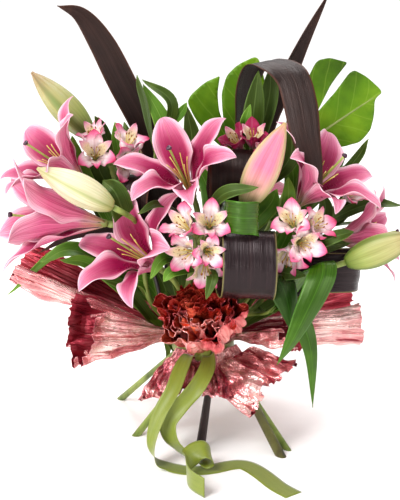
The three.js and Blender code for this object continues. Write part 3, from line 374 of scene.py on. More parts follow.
# Turns a shape into the piece that stands for a node of the frame.
def makePiece(node, shape, floorCut=False):
    mesh = bpy.data.meshes.new(node + "_fine")
    mesh.from_pydata([bundleAxis + p * millimetre for p in shape["points"]], [], shape["faces"])
    names = sorted(set(shape["slots"]))
    for name in names:
        mesh.materials.append(finishes[name])
    mesh.polygons.foreach_set("material_index", [names.index(s) for s in shape["slots"]])
    mesh.polygons.foreach_set("use_smooth", [not f for f in shape["flat"]])
    places = [value for corner in shape["corners"] for uv in corner for value in uv]
    mesh.uv_layers.new(name="UVMap").data.foreach_set("uv", places)
    if floorCut:
        body = bmesh.new()
        body.from_mesh(mesh)
        everything = body.verts[:] + body.edges[:] + body.faces[:]
        cut = bmesh.ops.bisect_plane(body, geom=everything, plane_co=(0, 0, 0), plane_no=up, clear_inner=True)
        bmesh.ops.holes_fill(body, edges=[e for e in cut["geom_cut"] if isinstance(e, bmesh.types.BMEdge)])
        bmesh.ops.recalc_face_normals(body, faces=body.faces)
        body.to_mesh(mesh)
        body.free()
    mesh.validate()
    piece = newObject(node + "_fine", mesh)
    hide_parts(node)
    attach(piece, "root")
    return piece


# Finishes

black, white = "#000000", "#ffffff"


def linear(colour):
    parts = [int(colour[i:i + 2], 16) / 255 for i in (1, 3, 5)]
    return (*[c / 12.92 if c <= 0.04045 else ((c + 0.055) / 1.055) ** 2.4 for c in parts], 1)


def per(size):  # how often a pattern of this size in mm repeats in a metre
    return 1000 / size


def newFinish(name, values):
    material = bpy.data.materials.new(name)
    material.use_nodes = True
    tree = material.node_tree
    shader = tree.nodes["Principled BSDF"]
    for key, value in values.items():
        shader.inputs[key].default_value = value
    return material, tree, shader, add(tree, "ShaderNodeTexCoord").outputs


# Gives a finish its colour, and a relief as deep as the pattern it is taken from is high.
def coat(tree, shader, colour, height, strength, depth):
    wire(tree, colour, shader.inputs["Base Color"])
    relief = add(tree, "ShaderNodeBump", {"Height": height, "Strength": strength, "Distance": depth})
    wire(tree, relief, shader.inputs["Normal"])


# Petals and leaves: a colour that runs from base to tip, an edge and a rib of their own, and fine veins.
# Edge is colour, start, end and share; rib is colour, width and share; veins is the blade's width over the
# distance from vein to vein, both in mm, with the tone of the darker ones and their share.
def bladeFinish(name, skin, along, edge, rib, veins, drift=0.3, relief=0.5, run=1.4, heart=None, marks=None):
    material, tree, shader, place = newFinish(name, skin)
    parts = add(tree, "ShaderNodeSeparateXYZ", {0: place["UV"]}).outputs
    centred = add(tree, "ShaderNodeMath", {0: parts["X"], 1: 2.0, 2: -1.0}, operation="MULTIPLY_ADD")
    fromRib = add(tree, "ShaderNodeMath", {0: centred}, operation="ABSOLUTE")
    cloud = add(tree, "ShaderNodeTexNoise", {"Vector": place["Object"], "Scale": per(26), "Detail": 3.0})
    moved = add(tree, "ShaderNodeMath", {0: cloud, 1: drift, 2: parts["Y"]}, operation="MULTIPLY_ADD")
    station = add(tree, "ShaderNodeMath", {0: moved, 1: drift / 2}, operation="SUBTRACT")
    result = add(tree, "ShaderNodeValToRGB", {0: station}, stops=along)
    mask = add(tree, "ShaderNodeValToRGB", {0: fromRib}, stops=[(edge[1], black), (edge[2], edge[3])])
    result = add(tree, "ShaderNodeMix", {0: mask, 6: result, 7: linear(edge[0])}, data_type="RGBA")
    mask = add(tree, "ShaderNodeValToRGB", {0: fromRib}, stops=[(rib[1] * 0.4, rib[2]), (rib[1], black)])
    result = add(tree, "ShaderNodeMix", {0: mask, 6: result, 7: linear(rib[0])}, data_type="RGBA")
    stretch = add(tree, "ShaderNodeMapping", {"Vector": place["UV"], "Scale": (veins[0], run, 1)})
    vein = add(tree, "ShaderNodeTexNoise", {"Vector": stretch, "Scale": 1.0, "Detail": 4.0})
    tone = add(tree, "ShaderNodeValToRGB", {0: vein}, stops=[(0.36, veins[1]), (0.62, white)])
    multiply = {"data_type": "RGBA", "blend_type": "MULTIPLY"}
    result = add(tree, "ShaderNodeMix", {0: veins[2], 6: result, 7: tone}, **multiply)
    if heart:
        near = add(tree, "ShaderNodeValToRGB", {0: fromRib}, stops=heart["across"])
        far = add(tree, "ShaderNodeValToRGB", {0: station}, stops=heart["reach"])
        mask = add(tree, "ShaderNodeMath", {0: near, 1: far}, operation="MULTIPLY")
        result = add(
            tree, "ShaderNodeMix", {0: mask, 6: result, 7: linear(heart["colour"])}, data_type="RGBA",
        )
    if marks:
        size = marks["size"]
        spread = add(tree, "ShaderNodeMapping", {"Vector": place["UV"], "Scale": marks["spread"]})
        cells = add(tree, "ShaderNodeTexVoronoi", {"Vector": spread, "Scale": 1.0, "Randomness": 0.8})
        dots = add(tree, "ShaderNodeValToRGB", {0: cells}, stops=[(size * 0.7, white), (size, black)])
        reach = add(tree, "ShaderNodeValToRGB", {0: parts["Y"]}, stops=marks["reach"])
        mask = add(tree, "ShaderNodeMath", {0: dots, 1: reach}, operation="MULTIPLY")
        result = add(
            tree, "ShaderNodeMix", {0: mask, 6: result, 7: linear(marks["colour"])}, data_type="RGBA",
        )
    coat(tree, shader, result, vein, relief, 0.0006)
    return material


# Closed buds: three tepals with a rib each, paler between them. Ribs is how sharp the ribs are.
def budFinish(name, ribs, along, ribAlong):
    skin = {"Roughness": 0.5, "Subsurface Weight": 0.1, "Subsurface Scale": 0.003}
    girth, spacing = 110, 1.8  # mm round a bud, and from vein to vein
    material, tree, shader, place = newFinish(name, skin)
    parts = add(tree, "ShaderNodeSeparateXYZ", {0: place["UV"]}).outputs
    turned = add(tree, "ShaderNodeMath", {0: parts["X"], 1: 6 * math.pi}, operation="MULTIPLY")
    wave = add(tree, "ShaderNodeMath", {0: turned}, operation="COSINE")
    mask = add(tree, "ShaderNodeValToRGB", {0: wave}, stops=ribs)
    colour = add(tree, "ShaderNodeValToRGB", {0: parts["Y"]}, stops=along)
    rib = add(tree, "ShaderNodeValToRGB", {0: parts["Y"]}, stops=ribAlong)
    ribbed = add(tree, "ShaderNodeMix", {0: mask, 6: colour, 7: rib}, data_type="RGBA")
    stretch = add(tree, "ShaderNodeMapping", {"Vector": place["UV"], "Scale": (girth / spacing, 1.5, 1)})
    vein = add(tree, "ShaderNodeTexNoise", {"Vector": stretch, "Scale": 1.0, "Detail": 4.0})
    tone = add(tree, "ShaderNodeValToRGB", {0: vein}, stops=[(0.35, "#cfd0b8"), (0.6, white)])
    multiply = {"data_type": "RGBA", "blend_type": "MULTIPLY"}
    mottled = add(tree, "ShaderNodeMix", {0: 0.6, 6: ribbed, 7: tone}, **multiply)
    coat(tree, shader, mottled, vein, 0.4, 0.0005)
    return material


# Stalks and other small round parts: one colour with streaks and freckles along it, as coarse as the grain.
def stalkFinish(name, dark, pale, roughness=0.5, grain=16):
    material, tree, shader, place = newFinish(name, {"Roughness": roughness})
    stretch = add(tree, "ShaderNodeMapping", {"Vector": place["Object"], "Scale": (1, 1, 0.25)})
    streak = add(tree, "ShaderNodeTexNoise", {"Vector": stretch, "Scale": per(grain), "Detail": 4.0})
    colour = add(tree, "ShaderNodeValToRGB", {0: streak}, stops=[(0.32, dark), (0.68, pale)])
    coat(tree, shader, colour, streak, 0.35, 0.0005)
    return material


# Crinkled metallised foil: long creases from neck to rim crossed by short ones, with painted highlights on
# the ridges of the creases and painted shade in their hollows, over a cloud of tone that varies at random.
def foilFinish(name, metal, tones):
    material, tree, shader, place = newFinish(name, {"Metallic": metal, "Roughness": 0.25})
    girth, length = 230, 110  # mm round and along an opened fan: a long crease every 5, a facet every 9
    long = add(tree, "ShaderNodeMapping", {"Vector": place["UV"], "Scale": (girth / 5, length / 24, 1)})
    links = {"Vector": long, "Scale": 1.0, "Detail": 5.0, "Distortion": 1.3}
    creases = add(tree, "ShaderNodeTexNoise", links)
    short = add(tree, "ShaderNodeMapping", {"Vector": place["UV"], "Scale": (girth / 9, length / 7.5, 1)})
    facets = add(tree, "ShaderNodeTexVoronoi", {"Vector": short, "Scale": 1.0}, feature="DISTANCE_TO_EDGE")
    height = add(tree, "ShaderNodeMath", {0: facets, 1: 0.4, 2: creases}, operation="MULTIPLY_ADD")
    cloud = add(tree, "ShaderNodeTexNoise", {"Vector": place["Object"], "Scale": per(42), "Detail": 5.0})
    # the colour follows the creases: painted highlight on their ridges and painted shade in their hollows,
    # mixed with a cloud of tone
    paintedCreaseLightAndTone = add(tree, "ShaderNodeMath", {0: creases, 1: 0.5, 2: cloud}, operation="MULTIPLY_ADD")
    coat(tree, shader, add(tree, "ShaderNodeValToRGB", {0: paintedCreaseLightAndTone}, stops=tones), height, 0.8, 0.004)
    return material


# Double-faced satin: a smooth warp face with faint threads along the ribbon.
def satinFinish(name):
    shine = {"Roughness": 0.48, "Sheen Weight": 0.3, "Sheen Roughness": 0.4}
    # mm across, and from warp thread to warp thread, which is coarser than real so that it shows
    wide, warp = 25, 0.28
    material, tree, shader, place = newFinish(name, shine)
    stretch = add(tree, "ShaderNodeMapping", {"Vector": place["UV"], "Scale": (wide / warp, 14, 1)})
    thread = add(tree, "ShaderNodeTexNoise", {"Vector": stretch, "Scale": 1.0, "Detail": 2.0})
    colour = add(tree, "ShaderNodeValToRGB", {0: thread}, stops=[(0.3, "#626f18"), (0.7, "#7d8828")])
    coat(tree, shader, colour, thread, 0.25, 0.0003)
    return material


# Split leaf: side veins leave the midrib at a slant.
# Across is the distance from the midrib, along runs with it.
def splitFinish(name):
    skin = {"Roughness": 0.42, "Specular IOR Level": 0.35, "Specular Tint": (0.8, 1.0, 0.5, 1)}
    sideVeins = 5
    material, tree, shader, place = newFinish(name, skin)
    parts = add(tree, "ShaderNodeSeparateXYZ", {0: place["UV"]}).outputs
    centred = add(tree, "ShaderNodeMath", {0: parts["X"], 1: 2.0, 2: -1.0}, operation="MULTIPLY_ADD")
    away = add(tree, "ShaderNodeMath", {0: centred}, operation="ABSOLUTE")
    bend = add(tree, "ShaderNodeTexNoise", {"Vector": place["Object"], "Scale": per(33), "Detail": 1.0})
    bent = add(tree, "ShaderNodeMath", {0: bend, 1: 0.08, 2: parts["Y"]}, operation="MULTIPLY_ADD")
    slant = add(tree, "ShaderNodeMath", {0: away, 1: -0.75, 2: bent}, operation="MULTIPLY_ADD")
    repeat = add(tree, "ShaderNodeMath", {0: slant, 1: sideVeins * 2 * math.pi}, operation="MULTIPLY")
    wave = add(tree, "ShaderNodeMath", {0: repeat}, operation="SINE")
    veins = add(tree, "ShaderNodeValToRGB", {0: wave}, stops=[(0.95, black), (1.0, "#6a6a6a")])
    midrib = add(tree, "ShaderNodeValToRGB", {0: away}, stops=[(0.01, "#8a8a8a"), (0.024, black)])
    lines = add(tree, "ShaderNodeMath", {0: veins, 1: midrib}, operation="MAXIMUM")
    cloud = add(tree, "ShaderNodeTexNoise", {"Vector": place["Object"], "Scale": per(62), "Detail": 6.0})
    tones = [(0.3, "#325206"), (0.5, "#50780c"), (0.7, "#729618")]
    colour = add(tree, "ShaderNodeValToRGB", {0: cloud}, stops=tones)
    veined = add(tree, "ShaderNodeMix", {0: lines, 6: colour, 7: linear("#a3bc4c")}, data_type="RGBA")
    coat(tree, shader, veined, cloud, 0.4, 0.002)
    return material


petalSkin = {
    "Roughness": 0.5, "Subsurface Weight": 0.06, "Subsurface Scale": 0.002, "Specular IOR Level": 0.24,
}
leafSkin = {"Roughness": 0.45, "Specular IOR Level": 0.35, "Specular Tint": (0.8, 1.0, 0.55, 1)}
waxSkin = {"Roughness": 0.24, "Specular IOR Level": 0.5, "Specular Tint": (0.75, 1.0, 0.5, 1)}
darkSkin = {"Roughness": 0.36, "Specular IOR Level": 0.27, "Specular Tint": (0.9, 0.72, 0.68, 1)}
rolledSkin = {"Roughness": 0.26, "Specular IOR Level": 0.33, "Specular Tint": (0.95, 0.8, 0.82, 1)}

finishes = {
    # velvety and matt: magenta in the throat, freckled, fading to nearly white at the waved edge
    "lilyPetal": bladeFinish(
        "lily petal, inner face, velvety", petalSkin,
        [
            (0, "#c3cc78"), (0.05, "#a80844"), (0.3, "#c01a5c"), (0.52, "#cb3a74"), (0.8, "#e484a6"),
            (1, "#efadc0"),
        ],
        edge=("#fbe9ec", 0.6, 1, "#e0e0e0"), rib=("#d9c98a", 0.045, "#707070"),
        veins=(44 / 1.0, "#c48ea4", 0.85),
        drift=0.2, relief=0.9,
        heart={
            "colour": "#84003a", "across": [(0.14, white), (0.52, "#f0f0f0"), (0.9, black)],
            "reach": [(0.1, white), (0.5, white), (0.72, "#c0c0c0"), (0.97, "#505050")],
        },
        marks={
            "colour": "#7d0c3c", "spread": (16, 26, 1), "size": 0.16,
            "reach": [(0.06, black), (0.14, white), (0.3, white), (0.44, black)],
        },
    ),
    # softer and paler than the inner face, with a magenta rib that turns green at the neck
    "lilyBack": bladeFinish(
        "lily petal, outer face, ribbed", petalSkin,
        [(0, "#b4bc62"), (0.1, "#dcb890"), (0.26, "#e07c9c"), (0.6, "#e4709a"), (1, "#efb0c2")],
        edge=("#fbe4e8", 0.55, 1, "#d4d4d4"), rib=("#c23a70", 0.2, "#a0a0a0"),
        veins=(44 / 1.0, "#c891a6", 0.9),
        drift=0.2, relief=0.9,
    ),
    # waxy green bud, cream between its darker ribs and browned at the tip
    "budGreen": budFinish(
        "closed lily bud, waxy and green", [(0.45, black), (0.75, "#a4a4a4"), (1, "#f0f0f0")],
        [(0, "#5e7422"), (0.25, "#919a4a"), (0.7, "#aaa26c"), (1, "#98764e")],
        [(0, "#4f661e"), (0.6, "#667a2a"), (1, "#7c5836")],
    ),
    # the next bud to open: creamy, with only thin green ribs left
    "budCream": budFinish(
        "closed lily bud, creamy", [(0.8, black), (0.95, "#a0a0a0"), (1, "#d0d0d0")],
        [(0, "#a3ab60"), (0.25, "#cfc9a0"), (0.7, "#ddd2b4"), (1, "#b8ad78")],
        [(0, "#7c8a38"), (0.6, "#93a04c"), (1, "#8a8a42")],
    ),
    # the opening bud: pink blushes between cream green margins
    "budPink": budFinish(
        "opening lily bud, blushed", [(0.1, black), (0.8, "#b0b0b0"), (1, "#f4f4f4")],
        [(0, "#98a052"), (0.18, "#cba586"), (0.5, "#d26c8c"), (0.85, "#cd7690"), (1, "#b89a66")],
        [(0, "#75853a"), (0.5, "#c9b98a"), (1, "#a8964e")],
    ),
    # thin and papery, white with a magenta tip and edge
    "tepal": bladeFinish(
        "alstroemeria outer tepal, papery", petalSkin,
        [(0, "#b9c680"), (0.2, "#faf0f0"), (0.62, "#fdf4f3"), (0.84, "#ea84aa"), (1, "#b8144f")],
        edge=("#cc1c60", 0.6, 0.98, "#a0a0a0"), rib=("#c7447a", 0.24, "#707070"),
        veins=(20 / 0.7, "#d3a9b8", 0.6),
        drift=0.35,
    ),
    # the same flower just opening, magenta all over
    "tepalDeep": bladeFinish(
        "alstroemeria outer tepal, just opened", petalSkin,
        [(0, "#c98a96"), (0.3, "#cc5f86"), (0.7, "#ae2459"), (1, "#8a0f40")],
        edge=("#8f1242", 0.45, 0.95, "#d0d0d0"), rib=("#e3a3b6", 0.2, "#606060"),
        veins=(20 / 0.7, "#c48fa3", 0.6),
    ),
    # narrow cream tepals streaked with dark maroon dashes that lead to the nectar
    "tepalMarked": bladeFinish(
        "alstroemeria inner tepal, streaked", petalSkin,
        [(0, "#b9c680"), (0.3, "#f0e6bc"), (0.65, "#eed9ae"), (0.86, "#e09aac"), (1, "#a9295c")],
        edge=("#ecc9d2", 0.6, 1, "#b0b0b0"), rib=("#e6d28a", 0.2, "#606060"),
        veins=(16 / 0.8, "#c8c8c8", 0.5),
        drift=0.15,
        marks={
            "colour": "#4a0f26", "spread": (15, 6, 1), "size": 0.27,
            "reach": [(0.22, black), (0.32, white), (0.8, white), (0.9, black)],
        },
    ),
    # full-grown leaf, olive green with a soft sheen and faint parallel veins
    "leaf": bladeFinish(
        "lily leaf, full-grown", leafSkin,
        [(0, "#566c20"), (0.4, "#3a4f14"), (0.8, "#34470f"), (1, "#506222")],
        edge=("#5f7836", 0.84, 1, white), rib=("#70884a", 0.08, "#b0b0b0"), veins=(22 / 0.85, "#8f9f7c", 0.7),
        drift=0.8,
    ),
    # young leaf, fresher and yellower
    "leafBright": bladeFinish(
        "alstroemeria leaf, young", leafSkin, [(0, "#5f8226"), (0.5, "#4a7a1a"), (1, "#6b9430")],
        edge=("#86a848", 0.84, 1, white), rib=("#8fae58", 0.08, "#b0b0b0"), veins=(22 / 0.85, "#8f9f7c", 0.7),
        drift=0.8,
    ),
    # waxed strap leaf that mirrors the window in long soft streaks
    "strapLeaf": bladeFinish(
        "strap leaf, glossy green", waxSkin,
        [(0, "#527814"), (0.3, "#355a06"), (0.75, "#2d4f05"), (1, "#48720f")],
        edge=("#4a7c20", 0.88, 1, white), rib=("#4f8020", 0.04, "#b0b0b0"), veins=(31 / 0.65, "#7c9668", 0.8),
        drift=0.5,
    ),
    # the older leaf behind, nearly bottle green
    "strapDark": bladeFinish(
        "strap leaf, deep green", waxSkin, [(0, "#1c3a08"), (0.5, "#142c05"), (1, "#264a0c")],
        edge=("#2c5218", 0.88, 1, white), rib=("#356020", 0.04, "#b0b0b0"), veins=(31 / 0.65, "#7f9a70", 0.8),
        drift=0.5,
    ),
    # leathery and almost black, browner at edge and tip, with close parallel veins that catch the light
    "darkLeaf": bladeFinish(
        "cordyline leaf, near black", darkSkin,
        [(0, "#33201a"), (0.2, "#231512"), (0.6, "#1e110f"), (0.9, "#2e1b16"), (1, "#4a2c20")],
        edge=("#5c3424", 0.86, 1, white), rib=("#33211c", 0.05, "#b0b0b0"), veins=(38 / 0.55, "#8a7a7c", 0.9),
        drift=0.6, relief=0.9, run=0.8,
    ),
    # the rolled leaves: glossier where they bend, with a pale yellow-green margin
    "darkLeafPale": bladeFinish(
        "cordyline leaf with a pale margin", rolledSkin,
        [(0, "#33201a"), (0.2, "#211416"), (0.7, "#1c1012"), (1, "#3a2220")],
        edge=("#9a9258", 0.93, 1, white), rib=("#2b1b1a", 0.05, "#b0b0b0"), veins=(38 / 0.55, "#8a7a7c", 0.9),
        drift=0.6, relief=0.9, run=0.8,
    ),
    # bright, leathery and veined from the midrib
    "splitLeaf": splitFinish("split leaf, leathery"),
    # smooth stems, streaked and freckled; the woody one is browner and the cordyline's nearly black
    "stem": stalkFinish("lily stem, smooth", "#4c6119", "#8f9f4a"),
    "stemBrown": stalkFinish("lily stem, woody", "#3a3118", "#66642c"),
    "stemDark": stalkFinish("cordyline stalk, dark", "#140c0d", "#33211f"),
    "stemPale": stalkFinish("flower stalk, pale green", "#6a7d34", "#98a35a"),
    # the pistil's parts: a moist green style, a sticky near black tip and powdery gold round it
    "style": stalkFinish("lily style, moist", "#808f34", "#aab862"),
    "stigma": stalkFinish("lily stigma, sticky", "#200a18", "#451b34", roughness=0.3, grain=5),
    "papilla": stalkFinish("petal papillae, fleshy", "#7a0a34", "#b81c54", roughness=0.4, grain=3.3),
    "filament": stalkFinish("filament, golden", "#bfa63c", "#e3d27a"),
    "anther": stalkFinish("anther, dusted with pollen", "#6a3c14", "#a3662a", roughness=0.9, grain=2.5),
    # thin metallised film over a dusty rose lacquer: painted highlights on its creases, and painted shade
    # where less light reaches
    "foil": foilFinish(
        "crinkled foil, dusty rose", 0.82, [(0.5, "#b25460"), (0.68, "#de9092"), (0.9, "#fad6d0")],
    ),
    # a darker copy of the rose foil: painted shade for the front fan that hangs under the bouquet
    "foilDeep": foilFinish(
        "crinkled foil, shaded rose", 0.8, [(0.5, "#8f3846"), (0.7, "#c06a74"), (0.92, "#efbab6")],
    ),
    # its other side, lacquered crimson
    "foilInside": foilFinish(
        "crinkled foil, crimson side", 0.6, [(0.5, "#701424"), (0.72, "#a32c3c"), (0.95, "#c9606a")],
    ),
    # the rosette's film: deep red, with a painted orange glow on its creases where light bounces between its
    # folds
    "foilRed": foilFinish(
        "crinkled foil, deep red", 0.55, [(0.5, "#70100e"), (0.72, "#b02a1e"), (0.95, "#e06a4a")],
    ),
    "foilLip": foilFinish(
        "crinkled foil, coral red", 0.65, [(0.5, "#a02c38"), (0.72, "#d0585c"), (0.95, "#eea49c")],
    ),
    # smooth and softly lit, olive lime, with faint warp threads
    "ribbon": satinFinish("double-faced satin, woven"),
    # dry, hairy and straw brown
    "twine": stalkFinish("jute twine, twisted", "#7d6236", "#cbb27c", roughness=0.9, grain=3.3),
}
trees = {"stalk": stalkTree(), "twine": twineTree(), "papilla": papillaTree()}
print("finishes and node trees ready")


# Lilies

lilies = {
    "left": {
        "base": (-119, -62, 288), "facing": (-0.95, -0.22, 0.2), "spin": 100, "length": 134, "flare": 42,
        "funnel": 15,
    },
    "left_upper": {
        "base": (-146, -34, 334), "facing": (-0.72, -0.26, 0.64), "spin": 50, "length": 104, "flare": 66,
    },
    "front": {"base": (-53, -74, 236), "facing": (-0.6, -0.5, 0.62), "spin": 10, "length": 110, "flare": 92},
    "centre": {"base": (-13, -54, 320), "facing": (-0.3, -0.5, 0.82), "spin": 10, "length": 106, "flare": 84},
    "right": {"base": (115, -47, 308), "facing": (0.55, -0.3, 0.78), "spin": 35, "length": 108, "flare": 84},
    "right_low": {
        "base": (164, -26, 258), "facing": (0.92, -0.14, 0.24), "spin": 60, "length": 90, "flare": 60,
    },
    "back": {"base": (45, 95, 268), "facing": (0.15, 0.85, 0.5), "spin": 90, "length": 104, "flare": 84},
}

lilyLook = {"rows": 40, "columns": 17, "thick": 0.7, "ruffle": 0.23, "wavesAlong": 2.6, "curl": 34}
papillae = {"each": 50, "from": 0.12, "most": 0.24, "to": 0.55, "length": 2.4}
lilyNeck = [(-5, 3.4), (-3, 4.6), (0, 5), (4, 5), (7, 4.4)]


# A petal leaves the base at an angle of funnel from the flower's axis, then bends out to flare.
def petalPath(spec, count):
    facing = unit(spec["facing"])
    right, above = sidesOf(facing)
    angle = math.radians(spec["spin"])
    out = right * math.cos(angle) + above * math.sin(angle)
    path = [Vector(spec["base"]) + out * spec["start"]]
    for i in range(count):
        t = (i + 0.5) / count
        bent = max((t - spec["turn"]) / (1 - spec["turn"]), 0) ** 1.3
        curled = spec.get("curl", 0) * max((t - 0.72) / 0.28, 0) ** 2
        lean = math.radians(spec["funnel"] + (spec["flare"] - spec["funnel"]) * bent + curled)
        step = spec["length"] / count
        path.append(path[-1] + facing * step * math.cos(lean) + out * step * math.sin(lean))
    return path, facing.cross(out)


# Half the width of a petal, which near the base is limited by the room that its neighbours leave.
def petalHalf(spec, point, t):
    facing = unit(spec["facing"])
    fromBase = point - Vector(spec["base"])
    away = (fromBase - facing * fromBase.dot(facing)).length
    room = away * (0.5 + 1.3 * max(t - 0.22, 0))
    return max(min(spec["half"] * outlineAt(t, spec["p"], spec["q"], 0.1), room), 0.15)


# Rows across a petal: cupped, grooved along the rib and waved towards its edges.
def petalRows(spec, look, phase):
    path, side = petalPath({**spec, "curl": look["curl"]}, look["rows"])
    rows = []
    for i, point in enumerate(path):
        t = i / look["rows"]
        half = petalHalf(spec, point, t)
        outwards = side.cross(tangentAt(path, i))
        row = []
        for place in steps(look["columns"] - 1):
            s = 2 * place - 1
            cupped = -spec["cup"] * (1 - 0.5 * t) * abs(s) ** 1.7
            groove = 0.09 * math.exp(-((s / 0.16) ** 2)) * (1 - 0.6 * t)
            wave = math.sin(2 * math.pi * look["wavesAlong"] * t + phase + (1.9 if s > 0 else 0))
            ruffled = look["ruffle"] * wave * abs(s) ** 2.5 * min(1, 3 * t) * (1 - t ** 6)
            row.append(point + side * s * half + outwards * (cupped + groove + ruffled) * half)
        rows.append(row)
    return rows


# Papillae stand on the inner face of a petal, thickest beside its rib and gone before its middle.
def addPapillae(shape, rows, chance):
    mesh = bpy.data.meshes.new("papillae")
    points, facings = [], []
    for _ in range(papillae["each"]):
        i = int(len(rows) * chance.triangular(papillae["from"], papillae["to"], papillae["most"]))
        j = int(len(rows[0]) * chance.triangular(0.15, 0.85, 0.5))
        along, over = slopes(rows, i, j)
        inwards = along.cross(over).normalized()
        place = rows[i][j].lerp(rows[i + 1][j], chance.random()).lerp(rows[i][j + 1], 0.5 * chance.random())
        points.append(place + inwards * lilyLook["thick"] * 0.3)
        facings += list(inwards)
    mesh.from_pydata(points, [], [])
    mesh.attributes.new("facing", "FLOAT_VECTOR", "POINT").data.foreach_set("vector", facings)
    values = {"Length": papillae["length"], "Seed": chance.randint(1, 99), "Finish": finishes["papilla"]}
    addMesh(shape, runTree(trees["papilla"], mesh, values), "papilla")


# Three broad petals and three narrower ones that open a little wider.
def makeLily(name, lily, chance):
    shape = newShape()
    for k in range(6):
        broad = k % 2 == 0
        petal = {
            "base": lily["base"], "facing": lily["facing"], "length": lily["length"], "cup": 0.45,
            "turn": 0.2,
            "half": (0.205 if broad else 0.15) * lily["length"], "p": 1.2, "q": 0.85,
            "start": 4 if broad else 5, "spin": lily["spin"] + 60 * k + chance.uniform(-3, 3),
            "funnel": lily.get("funnel", 24) + (0 if broad else 6),
            "flare": lily["flare"] + (0 if broad else 6) + chance.uniform(-5, 5),
        }
        rows = petalRows(petal, lilyLook, chance.uniform(0, 6))
        addSheet(shape, rows, lilyLook["thick"], "lilyBack", back="lilyPetal")
        addPapillae(shape, rows, chance)
    facing, base = unit(lily["facing"]), Vector(lily["base"])
    addBody(shape, [ringRound(base + facing * h, sidesOf(facing), r, 18) for h, r in lilyNeck], "stemPale")
    makePiece("lily_" + name, shape)


# The style with its three-lobed stigma, and six filaments whose anthers the florist has pulled off.
pistilLook = {"reach": 0.86, "sag": 6, "lobes": lambda angle: 0.86 + 0.14 * math.cos(3 * angle)}
styleRadii = [1.6, 1.4, 1.3, 1.2, 1.4, 2.2]
stigmaRings = [(0.945, 1.4), (0.96, 3.3), (0.98, 3.9), (0.995, 3.2), (1.0, 1.5)]


def makePistil(name, lily):
    shape = newShape()
    facing, base, reach = unit(lily["facing"]), Vector(lily["base"]), pistilLook["reach"] * lily["length"]

    def along(share):
        return base + facing * share * reach - up * pistilLook["sag"] * share

    addStalks(
        shape, [([along(share) for share in (9 / reach, 0.3, 0.5, 0.75, 0.93, 0.96)], styleRadii)], "style",
    )
    sides = sidesOf(facing)
    rings = [ringRound(along(share), sides, radius, 24, pistilLook["lobes"]) for share, radius in stigmaRings]
    addBody(shape, rings, "stigma")
    filaments = []
    for k in range(6):
        spec = {
            "base": base + facing * 8, "facing": lily["facing"], "length": 0.58 * reach, "start": 2.2,
            "funnel": 8, "flare": 22, "turn": 0.4, "spin": lily["spin"] + 60 * k + 30,
        }
        path, _ = petalPath(spec, 10)
        filaments.append((path, [1.1 - 0.06 * i for i in range(len(path))]))
    addStalks(shape, filaments, "filament", 8)
    makePiece("lily_" + name + "_pistil", shape)


chance = random.Random(7)
for name, lily in lilies.items():
    makeLily(name, lily, chance)
    makePistil(name, lily)
print("lilies ready")


# Buds

buds = {
    "left_upper": {"base": (-138, 14, 378), "facing": (-0.68, 0.02, 0.76), "length": 106, "half": 18},
    "left": {
        "base": (-106, -100, 318), "facing": (-0.83, -0.2, 0.5), "length": 98, "half": 18,
        "finish": "budCream",
    },
    "right": {"base": (169, -90, 248), "facing": (0.87, -0.24, 0.44), "length": 92, "half": 18},
    "opening": {
        "base": (49, -100, 319), "facing": (0.4, -0.08, 0.91), "length": 108, "half": 18.72, "ridge": 0.14,
        "finish": "budPink",
    },
}

budLook = {"sides": 48, "rings": 30, "ridge": 0.09, "seam": 0.07, "seamWidth": 0.16}


def makeBud(name, bud):
    shape = newShape()
    facing = unit(bud["facing"])
    ridge = bud.get("ridge", budLook["ridge"])

    def section(angle):
        fromSeam = math.pi / 3 - abs((angle + math.pi / 3) % (2 * math.pi / 3) - math.pi / 3)
        dip = budLook["seam"] * math.exp(-((fromSeam / budLook["seamWidth"]) ** 2))
        return 1 + ridge * math.cos(3 * angle) - dip

    rings = []
    for t in steps(budLook["rings"]):
        belly = max(math.sin(math.pi * (0.06 + 0.94 * t) ** 0.85) ** 0.75, 0.1)
        centre = Vector(bud["base"]) + facing * t * bud["length"]
        rings.append(ringRound(centre, sidesOf(facing), bud["half"] * belly, budLook["sides"], section))
    addBody(shape, rings, bud.get("finish", "budGreen"))
    makePiece("bud_" + name, shape)


for name, bud in buds.items():
    makeBud(name, bud)
print("buds ready")


# Leafy stems and sprigs A branch is where it leaves its stem, its radius and what it carries. A leaf is
# where it leaves, a point on its way, its tip, half its width,
# and the way that it faces if that isn't the front.

